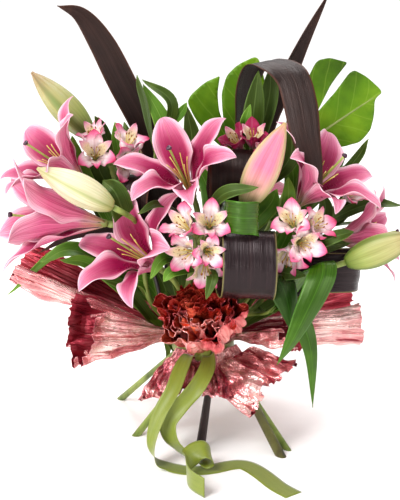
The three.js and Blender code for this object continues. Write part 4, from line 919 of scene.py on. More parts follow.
leafyStems = {
    "lily_stem_left": {
        "stalk": outerStalk(4.8, 112, **under(buds["left_upper"]), footAt=(72, 80)),
        "branches": [(0.6, 3.4, lilies["left"]), (0.66, 3, buds["left"]), (0.74, 3.4, lilies["left_upper"])],
        "leaves": [
            (0.62, (-98, -78, 318), (-118, -72, 343), 14, (0, -1, 0.2)),
            (0.52, (-150, -15, 270), (-221, -40, 246), 6),
            (0.48, (-160, 5, 238), (-246, -15, 182), 6),
            (0.7, (-110, 45, 330), (-150, 75, 372), 11, (0, 1, 0.4)),
            (0.58, (-110, 50, 270), (-178, 80, 275), 11, (0, 1, 0.8)),
            (0.6, (-151, 0, 345), (-160, 0, 382), 9),
            (0.62, (-135, 15, 310), (-141, 12, 347), 14, (0, -1, 0.3)),
            (0.5, (-140, 0, 268), (-172, -4, 292), 11),
            (0.45, (-150, -10, 236), (-203, -12, 225), 12, (0, -0.6, 0.8)),
        ],
    },
    "lily_stem_centre": {
        "stalk": outerStalk(4.8, 179, **under(lilies["centre"]), footAt=(-10, 96)),
        "branches": [(0.66, 3.4, lilies["front"]), (0.84, 3, buds["opening"])],
        "leaves": [
            (0.9, (-48, -92, 318), (-76, -104, 310), 7, (0, -0.5, 1)),
            (0.88, (20, -116, 334), (62, -130, 348), 9, (-0.4, -0.8, 0.5)),
            (0.8, (-45, -122, 262), (-61, -138, 242), 7),
            (0.6, (11, -24, 257), (3, -28, 302), 12),
            (0.55, (36, -20, 227), (45, -24, 272), 12),
            (0.75, (70, -50, 296), (88, -54, 328), 12),
            (0.7, (2, -30, 255), (14, -34, 295), 11),
            (0.6, (-35, -10, 236), (-48, -14, 280), 12),
        ],
    },
    "lily_stem_right": {
        "stalk": outerStalk(4.8, -47, **under(lilies["right"]), foot=30),
        "branches": [(0.7, 3.2, lilies["right_low"]), (0.62, 3, buds["right"])],
        "leaves": [
            (0.74, (190, -4, 292), (244, -14, 298), 9, (0, -0.6, 0.8)),
            (0.8, (180, 10, 340), (202, 2, 378), 6),
            (0.9, (100, -74, 320), (100, -66, 345), 8),
            (0.85, (119, -5, 300), (117, -8, 340), 9),
            (0.75, (144, -20, 280), (146, -24, 318), 11),
            (0.7, (107, -20, 232), (126, -30, 262), 12),
            (0.6, (158, -10, 217), (188, -20, 228), 11, (0, -0.6, 0.8)),
        ],
    },
    "lily_stem_back": {
        "stalk": outerStalk(4.8, 28, **under(lilies["back"]), footAt=(95, -92), thickFoot=6.2),
        "finish": "stemBrown",
        "leaves": [
            (0.62, (-15, 110, 235), (-62, 135, 262), 12, (0, 1, 0.6)),
            (0.7, (95, 110, 245), (140, 125, 270), 12, (0, 1, 0.6)),
            (0.8, (5, 120, 290), (-25, 125, 330), 10, (0, 1, 0.3)),
        ],
    },
    "leaf_sprig_left": {
        "stalk": outerStalk(2.7, 87, (-62, 18, 385), (-0.2, -0.1, 0.95)),
        "leaves": [
            (0.93, (-70, 8, 420), (-80, 2, 456), 9, (-0.8, -0.6, 0.1)),
            (0.9, (-38, 4, 418), (-74, 4, 450), 8, (0.4, -0.8, 0.6)),
            (0.97, (-30, 10, 405), (-20, 4, 422), 6),
            (0.8, (-88, 40, 345), (-100, 62, 388), 11, (0, 1, 0.2)),
            (0.88, (-16, 10, 362), (-20, 8, 417), 12),
            (0.9, (-48, 8, 390), (-73, 6, 444), 11),
            (0.7, (-123, 8, 327), (-128, 8, 363), 12),
        ],
    },
    "leaf_sprig_right": {
        "stalk": outerStalk(2.7, 4, (150, 35, 300), (0.5, 0.2, 0.8)),
        "leaves": [
            (0.7, (165, 45, 255), (215, 40, 262), 10, (0, 0.4, 0.9)),
            (0.85, (155, 75, 300), (185, 95, 335), 11, (0, 1, 0.4)),
            (0.99, (168, 38, 320), (196, 35, 345), 8),
            (0.6, (120, 80, 225), (170, 105, 222), 11, (0, 0.8, 0.8)),
            (0.8, (165, 10, 278), (178, 8, 312), 12),
            (0.8, (112, 10, 318), (105, 10, 365), 12),
        ],
    },
}

leafLook = {"rows": 18, "columns": 9, "thick": 0.6, "face": (0, -1, 0.4)}


def bladeRows(path, sides, halves, columns, lift):
    rows = []
    for i, point in enumerate(path):
        along = tangentAt(path, i)
        side = (sides[i] - along * sides[i].dot(along)).normalized()
        normal = side.cross(along)
        shares = [2 * place - 1 for place in steps(columns - 1)]
        t = i / (len(path) - 1)
        rows.append([point + side * s * halves[i] + normal * lift(s, t) * halves[i] for s in shares])
    return rows


# Path and radii of a stalk: stouter at its foot, with a leaf scar every few stations.
def stalkOf(spec, count=18):
    path = stalkPath(spec, count)
    radius = spec["radius"]
    radii = [spec.get("thickFoot", radius * 1.1), spec.get("core", radius)]
    for i in range(len(path) - 2):
        scar = 0.12 * radius if i % 6 == 3 else 0
        radii.append(radius + (radius * 0.75 - radius) * i / count + scar)
    return path, radii


def addLeaves(shape, host, leaves):
    for number, (at, via, to, half, *turned) in enumerate(leaves):
        path = smooth([pointAlong(host, at), via, to], leafLook["rows"])
        face = unit(turned[0] if turned else leafLook["face"])
        sides = [-face.cross(tangentAt(path, i)) for i in range(len(path))]
        halves = [max(half * outlineAt(t, 1.05, 0.8, 0.2), 0.15) for t in steps(leafLook["rows"])]

        def lift(s, t, shift=number):
            return 0.25 * abs(s) ** 1.4 + 0.07 * abs(s) ** 3 * math.sin(9 * t + 2 * shift)

        rows = bladeRows(path, sides, halves, leafLook["columns"], lift)
        addSheet(shape, rows, leafLook["thick"], "leafBright" if (number + len(host)) % 3 == 2 else "leaf")


def makeLeafyStem(name, spec):
    shape = newShape()
    host = stalkPath(spec["stalk"], 6)
    stalks = [stalkOf(spec["stalk"])]
    for at, radius, flower in spec.get("branches", []):
        start, end = pointAlong(host, at), under(flower)["end"]
        reach = (end - start).length * 0.45
        leaving = start + (end - start).normalized().lerp(up, 0.5).normalized() * reach
        path = bezier(start, leaving, end - unit(flower["facing"]) * reach, end, 12)
        stalks.append((path, [radius * (0.8 + 0.4 * t ** 2) for t in steps(12)]))
    addStalks(shape, stalks, spec.get("finish", "stem"), 16)
    addLeaves(shape, host, spec["leaves"])
    makePiece(name, shape, floorCut=True)


for name, spec in leafyStems.items():
    makeLeafyStem(name, spec)
print("stems ready")


# Alstroemeria sprays

def floret(mouth, facing, spin=0, length=40, flare=62):
    base = Vector(mouth) - unit(facing) * 0.72 * length
    return {"base": base, "facing": facing, "spin": spin, "length": length, "flare": flare}


sprays = {
    "alstroemeria_left": {
        "stalk": outerStalk(3.2, 137, (-105, -8, 345), (-0.9, 0, 0.8)),
        "florets": [
            floret((-128, -46, 372), (0.1, -0.85, 0.5)),
            floret((-134, -22, 394), (-0.35, -0.3, 0.9), 20, 34),
            floret((-86, -30, 388), (0.35, -0.3, 0.9), 10),
            floret((-86, -44, 356), (0.5, -0.85, 0.1), 30),
        ],
        "leaves": [
            (0.93, (-120, -2, 385), (-131, -10, 408), 7),
            (0.95, (-104, -16, 375), (-106, -22, 403), 6),
            (0.6, (-83, -20, 273), (-112, -24, 284), 12),
        ],
    },
    "alstroemeria_centre": {
        "stalk": outerStalk(3.2, -157, (-6, -98, 262), (0, -0.5, 0.85), footAt=(-112, 88), thickFoot=4.6),
        "florets": [
            floret((-28, -122, 306), (-0.55, -0.5, 0.65), 15),
            floret((8, -132, 309), (0.05, -0.85, 0.5)),
            floret((-24, -140, 272), (-0.5, -0.85, 0.1), 25),
            floret((7, -147, 276), (0.2, -0.95, 0.15), -25, 32),
            floret((3, -135, 245), (0.05, -0.8, -0.55), 36),
        ],
        "leaves": [
            (0.9, (10, -138, 246), (3, -152, 222), 7),
            (0.93, (-34, -132, 250), (-46, -142, 240), 7),
            (0.4, (-44, -20, 180), (-66, -26, 234), 13),
            (0.5, (-26, -20, 197), (-38, -24, 244), 12),
            (0.5, (-128, -24, 218), (-176, -30, 233), 9, (0, -0.7, 0.6)),
            (0.45, (-91, -30, 192), (-123, -36, 210), 8, (0, -0.7, 0.6)),
            (0.6, (-78, -20, 213), (-110, -26, 230), 12, (0, -0.7, 0.6)),
            (0.5, (-66, -30, 199), (-98, -40, 207), 11, (0, -0.7, 0.6)),
        ],
    },
    "alstroemeria_right": {
        "stalk": outerStalk(3.2, -88, (104, -80, 262), (0.2, -0.5, 0.8), footAt=(-85, -32), thickFoot=5),
        "florets": [
            floret((100, -114, 308), (-0.2, -0.8, 0.6)),
            floret((138, -102, 300), (0.6, -0.55, 0.55), 20),
            floret((118, -124, 278), (0.25, -0.95, 0.15), 10),
            floret((96, -118, 254), (-0.2, -0.8, -0.5), 30),
        ],
        "leaves": [
            (0.94, (148, -102, 280), (176, -96, 287), 8, (0, -0.8, 0.6)),
            (0.93, (72, -118, 272), (56, -134, 284), 7),
            (0.9, (92, -105, 240), (120, -112, 238), 9),
            (0.5, (120, -24, 195), (146, -30, 230), 12),
            (0.6, (100, -30, 258), (107, -34, 302), 11),
            (0.7, (139, -50, 249), (177, -54, 261), 9, (0, -0.7, 0.6)),
            (0.6, (61, -30, 200), (86, -34, 186), 11),
        ],
    },
    "alstroemeria_top": {
        "stalk": innerStalk(-103, (55, 2, 352), (0.1, -0.1, 0.95)),
        "florets": [
            floret((34, -36, 388), (-0.5, -0.5, 0.7), length=36, flare=36),
            floret((60, -42, 395), (0.05, -0.5, 0.85), length=36, flare=34),
            floret((74, -50, 374), (0.3, -0.85, 0.3), length=34, flare=40),
        ],
        "leaves": [
            (0.9, (60, -2, 400), (66, -6, 462), 13, (0, -1, 0.1)),
            (0.96, (50, -20, 395), (56, -26, 425), 7),
            (0.92, (79, 14, 419), (82, 12, 465), 11),
            (0.85, (104, -12, 354), (103, -14, 414), 11),
            (0.8, (97, -30, 291), (102, -34, 327), 10),
            (0.82, (72, 0, 327), (80, 0, 366), 11),
            (0.7, (50, -40, 290), (57, -44, 325), 11),
        ],
    },
    "alstroemeria_side": {
        "stalk": outerStalk(3.2, -18, (168, 8, 282), (0.5, 0, 0.8)),
        "florets": [
            floret((186, -14, 318), (0.5, -0.6, 0.7), 10, 36),
            floret((196, 25, 300), (0.85, 0.3, 0.5), length=38),
        ],
        "leaves": [(0.8, (183, 5, 256), (214, 0, 272), 11, (0, -0.6, 0.8))],
    },
    "alstroemeria_back": {
        "stalk": outerStalk(3.2, 62, (-70, 82, 300), (-0.2, 0.4, 0.85), footAt=(104, -74), thickFoot=4.6),
        "florets": [
            floret((-100, 108, 322), (-0.6, 0.7, 0.4), 10),
            floret((-62, 122, 320), (0.1, 0.9, 0.4)),
            floret((-76, 92, 346), (-0.1, 0.3, 0.95), 20),
        ],
        "leaves": [(0.9, (-110, 95, 285), (-140, 112, 300), 9, (0, 1, 0.6))],
    },
}

floretLook = {"rows": 14, "columns": 9, "thick": 0.5, "ruffle": 0.42, "wavesAlong": 2.3, "curl": 28}
knob = [(-5, 2.2), (-3.6, 3.3), (-1, 3.6), (2, 3.2), (3.4, 2.2)]


def addFloret(shape, flower, deep, chance):
    facing, base, length = unit(flower["facing"]), flower["base"], flower["length"]
    for k in range(6):
        broad = k % 2 == 0
        petal = {
            "base": base, "facing": flower["facing"],
            "spin": flower["spin"] + 60 * k + 90 + chance.uniform(-7, 7),
            "length": length * chance.uniform(0.9, 1.04), "half": (0.25 if broad else 0.16) * length,
            "p": 1.5 if broad else 1.2, "q": 0.8, "cup": 0.3, "funnel": 26 if broad else 20, "turn": 0.3,
            "flare": flower["flare"] - (0 if broad else 10) + chance.uniform(-10, 8), "start": 2.5,
        }
        slot = ("tepalDeep" if deep else "tepal") if broad or k == 3 else "tepalMarked"
        addSheet(shape, petalRows(petal, floretLook, chance.uniform(0, 6)), floretLook["thick"], slot)
    sides = sidesOf(facing)

    def lobed(angle):
        return 0.93 + 0.07 * math.cos(6 * angle)

    rings = [ringRound(base + facing * h, sides, r, 18, lobed) for h, r in knob]
    addBody(shape, rings, "stemPale")
    stamens = []
    for k in range(6):
        spec = {
            "base": base, "facing": flower["facing"], "length": (0.62 + 0.05 * (k % 3)) * length, "start": 1,
            "funnel": 5, "flare": 24, "turn": 0.3, "spin": 60 * k + 20 + chance.uniform(-10, 10),
        }
        stamens.append(petalPath(spec, 6)[0])
    addStalks(shape, [(path, [0.45] * len(path)) for path in stamens], "filament", 6)
    anthers = [([path[-1] + facing * h for h in (0, 1.5, 3)], [0.5, 1.0, 0.4]) for path in stamens]
    addStalks(shape, anthers, "anther", 6)


def makeSpray(name, spec, chance):
    shape = newShape()
    deep = name == "alstroemeria_top"
    host = stalkPath(spec["stalk"], 4)
    addStalks(shape, [stalkOf(spec["stalk"])], "stem")
    top, twigs = host[-1], []
    for flower in spec["florets"]:
        end = flower["base"]
        twig = bezier(top, top.lerp(end, 0.4), end - unit(flower["facing"]) * 6, end, 6)
        twigs.append((twig, [1.4] * len(twig)))
        addFloret(shape, flower, deep, chance)
    addStalks(shape, twigs, "stemPale", 8)
    addLeaves(shape, host, spec["leaves"])
    makePiece(name, shape, floorCut=True)


for name, spec in sprays.items():
    makeSpray(name, spec, chance)
print("sprays ready")


# Dark and green strap leaves. A blade runs through its points,
# and its sides turn from one direction to the next.

rolled = {"taper": 1, "fold": 0}

strapLeaves = {
    "dark_leaf_tall_left": {
        "stalk": innerStalk(74, (-40, 34, 280), (-0.1, 0.05, 0.98)), "half": 18, "taper": 0.6,
        "via": [
            (-54, 34, 345), (-74, 34, 392), (-98, 35, 438), (-124, 36, 490), (-149, 36, 524),
            (-177, 34, 535),
        ],
        "sides": [(0.8, -0.3, 0.5), (0.83, -0.1, 0.55), (0.83, -0.1, 0.55), (0.75, -0.1, 0.65)],
    },
    "dark_leaf_tall_right": {
        "stalk": innerStalk(-16, (62, 42, 350), (0.3, 0, 0.95), footAt=(-4, -76), thickFoot=6.5),
        "half": 16, "taper": 0.45, "fold": 0.5,
        "via": [(80, 45, 405), (101, 46, 449), (126, 50, 500), (155, 50, 552)],
        "sides": [(0.7, 0.6, -0.3), (0.72, 0.6, -0.35), (0.7, 0.6, -0.35)],
    },
    "dark_leaf_arch": {
        "stalk": innerStalk(-74, (45, 24, 335), (0.05, 0, 1)), "half": 20, "taper": 0.7,
        "via": [
            (49, 22, 400), (52, 17, 440), (64, 9, 468), (86, -4, 470), (105, -22, 458), (114, -42, 430),
            (120, -62, 394), (129, -78, 360), (138, -90, 326),
        ],
        "sides": [
            (0.6, 0.75, 0.1), (0.6, 0.75, 0.1), (0.8, 0.55, 0.1), (1, 0.1, 0.2), (0.97, 0.15, 0.25),
            (0.95, 0.1, 0.3),
        ],
    },
    "dark_leaf_roll_upper": {
        "stalk": {"tie": (0, 0), "radius": 3.2, "core": 12.9, "end": (28, -24, 288), "way": (0.05, 0, 1)},
        "half": 27, **rolled,
        "via": [
            (32, -26, 342), (34, -38, 371), (34, -58, 371), (34, -72, 348), (34, -68, 320), (33, -50, 304),
            (31, -34, 306),
        ],
        "sides": [(1, 0, 0), (1, 0, 0)],
    },
    "dark_leaf_roll_front": {
        "stalk": outerStalk(2.7, -139, (42, -72, 218), (0.1, -0.1, 0.95)),
        "half": 31, "finish": "darkLeafPale", **rolled,
        "via": [
            (48, -86, 262), (51, -106, 290), (52, -132, 290), (53, -149, 262), (52, -146, 232),
            (50, -124, 214), (46, -96, 214), (44, -82, 228),
        ],
        "sides": [(1, 0, 0), (1, 0, 0)],
    },
    "dark_leaf_roll_right": {
        "stalk": innerStalk(-132, (96, -62, 214), (0.9, -0.2, 0.3)), "half": 24, "finish": "darkLeafPale",
        **rolled,
        "via": [
            (124, -74, 229), (156, -82, 232), (181, -76, 231), (190, -56, 228), (178, -38, 226),
            (152, -36, 225),
        ],
        "sides": [(0.1, 0.2, 1), (0.1, 0.1, 1), (0.1, 0, 1)],
    },
    "dark_leaf_roll_left": {
        "stalk": innerStalk(122, (-48, -14, 262), (-0.2, -0.1, 0.95)), "half": 22, **rolled,
        "via": [
            (-56, -14, 315), (-66, -28, 340), (-80, -48, 338), (-86, -60, 312), (-78, -56, 284),
            (-62, -36, 270),
        ],
        "sides": [(0.9, -0.35, 0.2), (0.9, -0.35, 0.2)],
    },
    "dark_leaf_low_left": {
        "stalk": outerStalk(2.7, 157, (-72, -36, 238), (-0.6, -0.1, 0.7)), "half": 9, "taper": 0.5,
        "via": [(-112, -52, 274), (-155, -56, 272), (-200, -54, 248)],
        "sides": [(0.2, -0.5, 0.85), (0.2, -0.4, 0.9)],
    },
    "strap_leaf_front": {
        "stalk": outerStalk(2.7, -106, (86, -84, 190), (0.6, -0.3, 0.8)), "half": 16, "taper": 0.55,
        "fold": 0.25,
        "via": [
            (116, -98, 236), (136, -112, 254), (137, -130, 246), (128, -142, 226), (114, -150, 198),
            (99, -155, 168), (85, -155, 144),
        ],
        "sides": [(0.6, 0.7, 0.1), (0.8, 0.5, 0.2), (0.95, 0.2, 0.25), (0.9, 0.2, 0.4)],
    },
    "strap_leaf_low": {
        "stalk": outerStalk(2.7, -70, (84, -60, 176), (0.7, -0.4, 0.5)), "half": 13, "taper": 0.5,
        "fold": 0.25,
        "via": [(104, -92, 196), (118, -108, 176), (128, -114, 140), (131, -116, 74)],
        "sides": [(0.6, 0.7, 0.1), (0.9, 0.3, 0.1), (0.98, 0.1, 0.1)],
    },
    "strap_leaf_dark": {
        "stalk": outerStalk(2.7, -123, (62, -72, 210), (0.3, -0.6, 0.7)),
        "half": 18, "taper": 0.6, "fold": 0.25, "finish": "strapDark",
        "via": [(74, -96, 238), (88, -116, 234), (98, -126, 208), (104, -128, 172)],
        "sides": [(0.9, 0.3, 0), (0.95, 0.3, 0.1), (0.97, 0.2, 0.2)],
    },
    "strap_leaf_roll": {
        "stalk": innerStalk(-162, (16, -70, 272), (0.1, -0.3, 0.9)), "half": 19, **rolled,
        "via": [(19, -98, 304), (27, -130, 314), (44, -142, 315), (60, -132, 312), (63, -116, 304)],
        "sides": [(0.9, 0.1, 0.1), (0.2, 0.1, 0.9), (0, 0, 1), (0, 0, 1), (0, 0, 1)],
    },
}

strapLook = {"rows": 90, "columns": 13, "thick": 0.6, "ribs": 0.012, "fold": 0.12, "overlap": 12}


def makeStrapLeaf(name, spec):
    shape = newShape()
    dark = name.startswith("dark")
    start, count = Vector(spec["stalk"]["end"]), strapLook["rows"]
    path = smooth([start - unit(spec["stalk"]["way"]) * strapLook["overlap"], start, *spec["via"]], count)
    halves = [max(spec["half"] * strapAt(t, spec["taper"]), 0.2) for t in steps(count)]
    sides = [directionAt(spec["sides"], t) for t in steps(count)]

    def lift(s, t):
        ribbed = strapLook["ribs"] * math.cos(9 * math.pi * s)
        waved = 0.05 * abs(s) ** 2 * math.sin(11 * t + len(name) + 2 * s)
        return spec.get("fold", strapLook["fold"]) * abs(s) ** 1.3 + ribbed + waved

    rows = bladeRows(path, sides, halves, strapLook["columns"], lift)
    addSheet(shape, rows, strapLook["thick"], spec.get("finish", "darkLeaf" if dark else "strapLeaf"))
    addStalks(shape, [stalkOf(spec["stalk"], 10)], "stemDark" if dark else "stem")
    makePiece(name, shape, floorCut=True)


for name, spec in strapLeaves.items():
    makeStrapLeaf(name, spec)
print("strap leaves ready")


# Split leaves. A margin is drawn as seen from the front, and depth is how far back the blade stands.

splitLeaves = {
    "split_leaf_left": {
        "stalk": innerStalk(14, (46, 58, 330), (0.05, 0.05, 1)),
        "foot": (46, 346), "tip": (68, 472), "depth": 58, "droop": 8,
        "margin": [
            (46, 340), (15, 362), (-9, 390), (-20, 413), (-16, 422), (2, 438), (21, 446), (18, 424),
            (20, 402), (26, 386), (24, 404), (23, 424), (29, 446), (43, 460), (68, 472), (77, 441),
            (84, 404), (76, 372),
        ],
    },
    "split_leaf_right": {
        "stalk": innerStalk(-45, (122, 66, 342), (0.3, 0, 0.9)),
        "foot": (126, 356), "tip": (224, 425), "depth": 66, "droop": 8,
        "margin": [
            (112, 350), (118, 402), (131, 440), (142, 464), (158, 468), (181, 462), (162, 436), (144, 398),
            (167, 425), (187, 454), (206, 444), (226, 426), (216, 416), (216, 396), (212, 377), (200, 362),
            (181, 356), (155, 352),
        ],
    },
}

splitLook = {"grid": 5.0, "thick": 0.7, "veinRelief": 0.7, "sideVeins": 9}
nerveRadii = [2.4, 2.1, 1.5, 1.1, 0.6]


# The outline with its lobes rounded: each side is drawn out and eased at its corners.
def roundedMargin(margin):
    points = []
    for i, corner in enumerate(margin):
        before, after = Vector(margin[i - 1]), Vector(margin[(i + 1) % len(margin)])
        corner = Vector(corner)
        sharp = (before - corner).normalized().dot((after - corner).normalized()) > 0.2
        ease = 0.12 if sharp else 0.3
        first, last = corner.lerp(before, ease), corner.lerp(after, ease)
        points += [(1 - t) ** 2 * first + 2 * (1 - t) * t * corner + t * t * last for t in steps(4)]
    return points


def makeSplitLeaf(name, spec):
    foot, tip = Vector(spec["foot"]), Vector(spec["tip"])
    margin, grid = roundedMargin(spec["margin"]), splitLook["grid"]
    lowX, highX = min(p.x for p in margin), max(p.x for p in margin)
    lowZ, highZ = min(p.y for p in margin), max(p.y for p in margin)
    across, high = int((highX - lowX) / grid), int((highZ - lowZ) / grid)
    cells = [(i + 0.5, j + 0.5) for i in range(across) for j in range(high)]
    inside = [Vector((lowX + i * grid, lowZ + j * grid)) for i, j in cells]
    edges = [(k, (k + 1) % len(margin)) for k in range(len(margin))]
    whole = [list(range(len(margin)))]
    flat, _, faces, _, _, _ = geometry.delaunay_2d_cdt(margin + inside, edges, whole, 1, 0.01)
    used = sorted({k for face in faces for k in face})
    renumber = {k: i for i, k in enumerate(used)}
    rib, length = (tip - foot).normalized(), (tip - foot).length

    def placeOf(p):
        u, w = p.x - foot.x, p.y - foot.y
        along, away = Vector((u, w)).dot(rib), u * rib.y - w * rib.x
        slant = splitLook["sideVeins"] * 2 * math.pi * (along / length - 0.55 * abs(away) / 100)
        relief = splitLook["veinRelief"] * math.sin(slant) * min(1, abs(away) / 12)
        depth = spec["depth"] + 0.12 * w - spec["droop"] * (u * u + w * w) / 10000 + relief
        return Vector((p.x, depth, p.y)), (0.5 + away / 200, along / length)

    places = [placeOf(flat[k]) for k in used]
    half = Vector((0, splitLook["thick"] / 2, 0))
    count = len(places)
    allFaces, corners, border = [], [], {}
    for face in faces:
        a, b, c = (renumber[k] for k in face)
        if (flat[used[b]] - flat[used[a]]).cross(flat[used[c]] - flat[used[a]]) < 0:
            b, c = c, b
        allFaces += [(a, b, c), (a + count, c + count, b + count)]
        corners += [[places[k][1] for k in (a, b, c)], [places[k][1] for k in (a, c, b)]]
        border.update({(a, b): True, (b, c): True, (c, a): True})
    for p, q in border:
        if (q, p) not in border:
            allFaces.append((q, p, p + count, q + count))
            corners.append([places[k][1] for k in (q, p, p, q)])
    shape, stalk = newShape(), spec["stalk"]
    points = [p - half for p, _ in places] + [p + half for p, _ in places]
    addFaces(shape, points, allFaces, corners, "splitLeaf")
    nerve = [Vector(stalk["end"]) - unit(stalk["way"]) * 3]
    nerve += [placeOf(foot.lerp(tip, share))[0] for share in (0, 0.3, 0.6, 0.9)]
    addStalks(shape, [stalkOf(stalk, 10), (nerve, nerveRadii)], "stemPale")
    makePiece(name, shape, floorCut=True)


for name, spec in splitLeaves.items():
    makeSplitLeaf(name, spec)
print("split leaves ready")


# Foil. A fan is gathered at its neck, at an angle round the bundle, and opens to its rim.

foilFans = {
    "left": {"angle": 202, "rim": (-150, -66, 164), "wide": 42, "deep": 46, "wrap": 124},
    "left_upper": {"angle": 172, "rim": (-228, 14, 226), "wide": 43, "deep": 34, "wrap": 98},
    "front": {
        "angle": -110, "rising": False, "rim": (-22, -80, 70), "wide": 60, "deep": 14, "wrap": 90,
        # its outer side is the darker copy of the rose foil, painted shade under the bouquet
        "opens": (0.25, 0.4, 0.65, 0.85, 1), "finish": ("foilDeep", "foilInside"),
    },
    "front_right": {
        "angle": -50, "rising": False, "rim": (88, -78, 80), "wide": 48, "deep": 20, "wrap": 92,
        "opens": (0.2, 0.4, 0.7, 0.92, 1), "turn": 22,
    },
    "right_upper": {"angle": -32, "rim": (110, -68, 162), "wide": 34, "deep": 26, "wrap": 100},
    "right": {"angle": 4, "rim": (196, 8, 158), "wide": 42, "deep": 46, "wrap": 118},
    "back_right": {"angle": 44, "rim": (124, 110, 166), "wide": 44, "deep": 28, "wrap": 95, "pleats": 6},
    "back": {"angle": 88, "rim": (4, 152, 170), "wide": 46, "deep": 28, "wrap": 95, "pleats": 6},
    "back_left": {"angle": 132, "rim": (-118, 112, 172), "wide": 44, "deep": 28, "wrap": 95, "pleats": 6},
}
# Each is a nest of layers, whose shares of the full size are given from the outermost in.
rosette = {
    "heart": {
        "angle": -83, "rim": (-12, -88, 208), "wide": 22, "deep": 18, "wrap": 165, "pleats": 6, "phase": 3,
        "nested": True, "layers": (1.0, 0.72, 0.42), "finish": ("foilRed", "foilRed"),
    },
    "lip": {
        "angle": -83, "rim": (-4, -104, 190), "wide": 52, "deep": 40, "wrap": 145, "pleats": 8, "phase": 1,
        "layers": (1.0, 0.8, 0.58, 0.34), "finish": ("foilLip", "foilRed"),
    },
}

foilLook = {
    "neckRadius": 36.9, "overBand": 40.6, "rowsEach": 9, "columnsEach": 9, "thick": 0.5, "ragged": 4.0,
}
fanLook = {"folds": 17, "pleat": 1.9, "dent": 3.0, "ruffle": 0.0, "waves": 0.0}
rosetteLook = {"folds": 16, "pleat": 2.0, "dent": 3.4, "ruffle": 4.8, "waves": 27.0}


# The surface of a gathered and pleated fan, by its station along and its place round.
def fanRows(spec):
    angle, rim, rising = math.radians(spec["angle"]), Vector(spec["rim"]), spec.get("rising", True)
    nested, pleats, phase = spec.get("nested", False), spec.get("pleats", 7), spec["phase"]
    out = Vector((math.cos(angle), math.sin(angle), 0))
    level = up.cross(out)

    def neck(radius, height):
        return out * radius + up * (bundle["tieHeight"] + (height if rising else -height))

    start, bend = [neck(foilLook["neckRadius"], 1), neck(foilLook["neckRadius"], 10.5)], neck(58, 25)
    if nested:
        start, bend = [neck(46, 26)], neck(54, 36)
    if not rising:
        start, bend = [neck(foilLook["overBand"], -4), neck(foilLook["overBand"] + 1, 9)], neck(48, 20)
    path = [*start, bend, bend.lerp(rim, 0.5), rim]
    opens = spec.get("opens", [0.06, 0.25, 0.6, 1] if nested else [0, 0.03, 0.28, 0.7, 1])
    around = 2 * pleats * foilLook["columnsEach"]
    stations = []
    for i, (point, opened) in enumerate(zip(path, opens)):
        along = tangentAt(path, i)
        side = (level - along * level.dot(along)).normalized()
        turn = math.radians(spec.get("turn", 0)) * opened
        side = side * math.cos(turn) + along.cross(side) * math.sin(turn)
        below = side.cross(along).normalized()
        turned = below.dot(up) > 0 if rising else below.dot(out) < 0
        if turned:
            below.negate()
        if i < len(start) and not nested:
            below = out.copy()
        wide, deep = 8 + (spec["wide"] - 8) * opened, 0.4 + (spec["deep"] - 0.4) * opened
        row = []
        for j in range(around + 1):
            k = j / foilLook["columnsEach"]
            s = k / pleats - 1
            beta = math.radians(spec["wrap"]) * s
            fold = (1 - 2 * abs(k % 2 - 1)) * (0.3 + 4 * opened) + 2 * opened * math.sin(5 * s + phase)
            sideways = side * (wide + 0.6 * fold) * math.sin(beta)
            row.append(point + sideways + below * (deep + fold) * math.cos(beta))
        stations.append(row)
    rows = []
    for i in range((len(path) - 1) * foilLook["rowsEach"] + 1):
        place = i / foilLook["rowsEach"]
        rows.append([curveAt([station[j] for station in stations], place) for j in range(around + 1)])
    return rows, opens, turned


# Crumples a foil surface: fine pleats that fan out from the neck,
# broad dents between them, and a ragged edge.
def crumple(rows, opens, look, seed):
    high, wide = len(rows), len(rows[0])
    done = []
    for i, row in enumerate(rows):
        place = i / foilLook["rowsEach"]
        k = min(int(place), len(opens) - 2)
        opened = opens[k] + (opens[k + 1] - opens[k]) * (place - k)
        v = i / (high - 1)
        fresh = []
        for j, point in enumerate(row):
            along, over = slopes(rows, i, j)
            along.normalize()
            normal = over.normalized().cross(along)
            u = j / (wide - 1)
            drift = u * look["folds"] + 0.7 * noise.noise(Vector((u * 9, v * 2.2, seed)))
            pleat = 2 * abs(drift % 1 - 0.5) - 0.5
            depth = look["pleat"] * (0.45 + 0.9 * abs(noise.noise(Vector((u * 5, v * 1.5, seed + 5)))))
            dent = 1 - 3 * abs(noise.noise(Vector((u * 7, v * 4.5, seed + 9))))
            fine = noise.noise(point / 5 + Vector((seed, 0, 0)))
            strength = (0.2 + min(1, 1.5 * opened)) * (1 + 0.9 * max(0, (v - 0.8) / 0.2))
            moved = point + normal * strength * (2 * depth * pleat + look["dent"] * dent + 0.5 * fine)
            wave = math.sin(u * look["waves"] + 2.5 * noise.noise(point / 30))
            moved += normal * look["ruffle"] * opened ** 2 * wave
            if i == high - 1:
                moved += along * foilLook["ragged"] * noise.noise(point / 4)
            fresh.append(moved)
        done.append(fresh)
    return done


def makeFan(name, spec, look):
    shape = newShape()
    outside, inside = spec.get("finish", ("foil", "foilInside"))
    for number, share in enumerate(spec.get("layers", [1.0])):
        rows, opens, turned = fanRows({**spec, "wide": spec["wide"] * share, "deep": spec["deep"] * share})
        crumpled = crumple(rows, opens, look, 3.7 * spec["phase"] + 11 * number)
        top, back = (inside, outside) if turned else (outside, inside)
        addSheet(shape, crumpled, foilLook["thick"], top, flat=True, back=back)
    makePiece(name, shape)


for phase, (name, spec) in enumerate(foilFans.items()):
    makeFan("foil_fan_" + name, {**spec, "phase": phase}, fanLook)
for name, spec in rosette.items():
    makeFan("foil_rosette_" + name, spec, rosetteLook)
print("foil ready")


# Twine and ribbon

twineLook = {"Turns": 4.0, "Radius": 31.9, "Height": 10.0, "Strand": 1.2}


def makeTwine():
    shape = newShape()
    wound = runTree(trees["twine"], bpy.data.meshes.new("none"), {**twineLook, "Finish": finishes["twine"]})
    addMesh(shape, wound, "twine", up * (bundle["tieHeight"] - twineLook["Height"] / 2))
    makePiece("twine", shape)


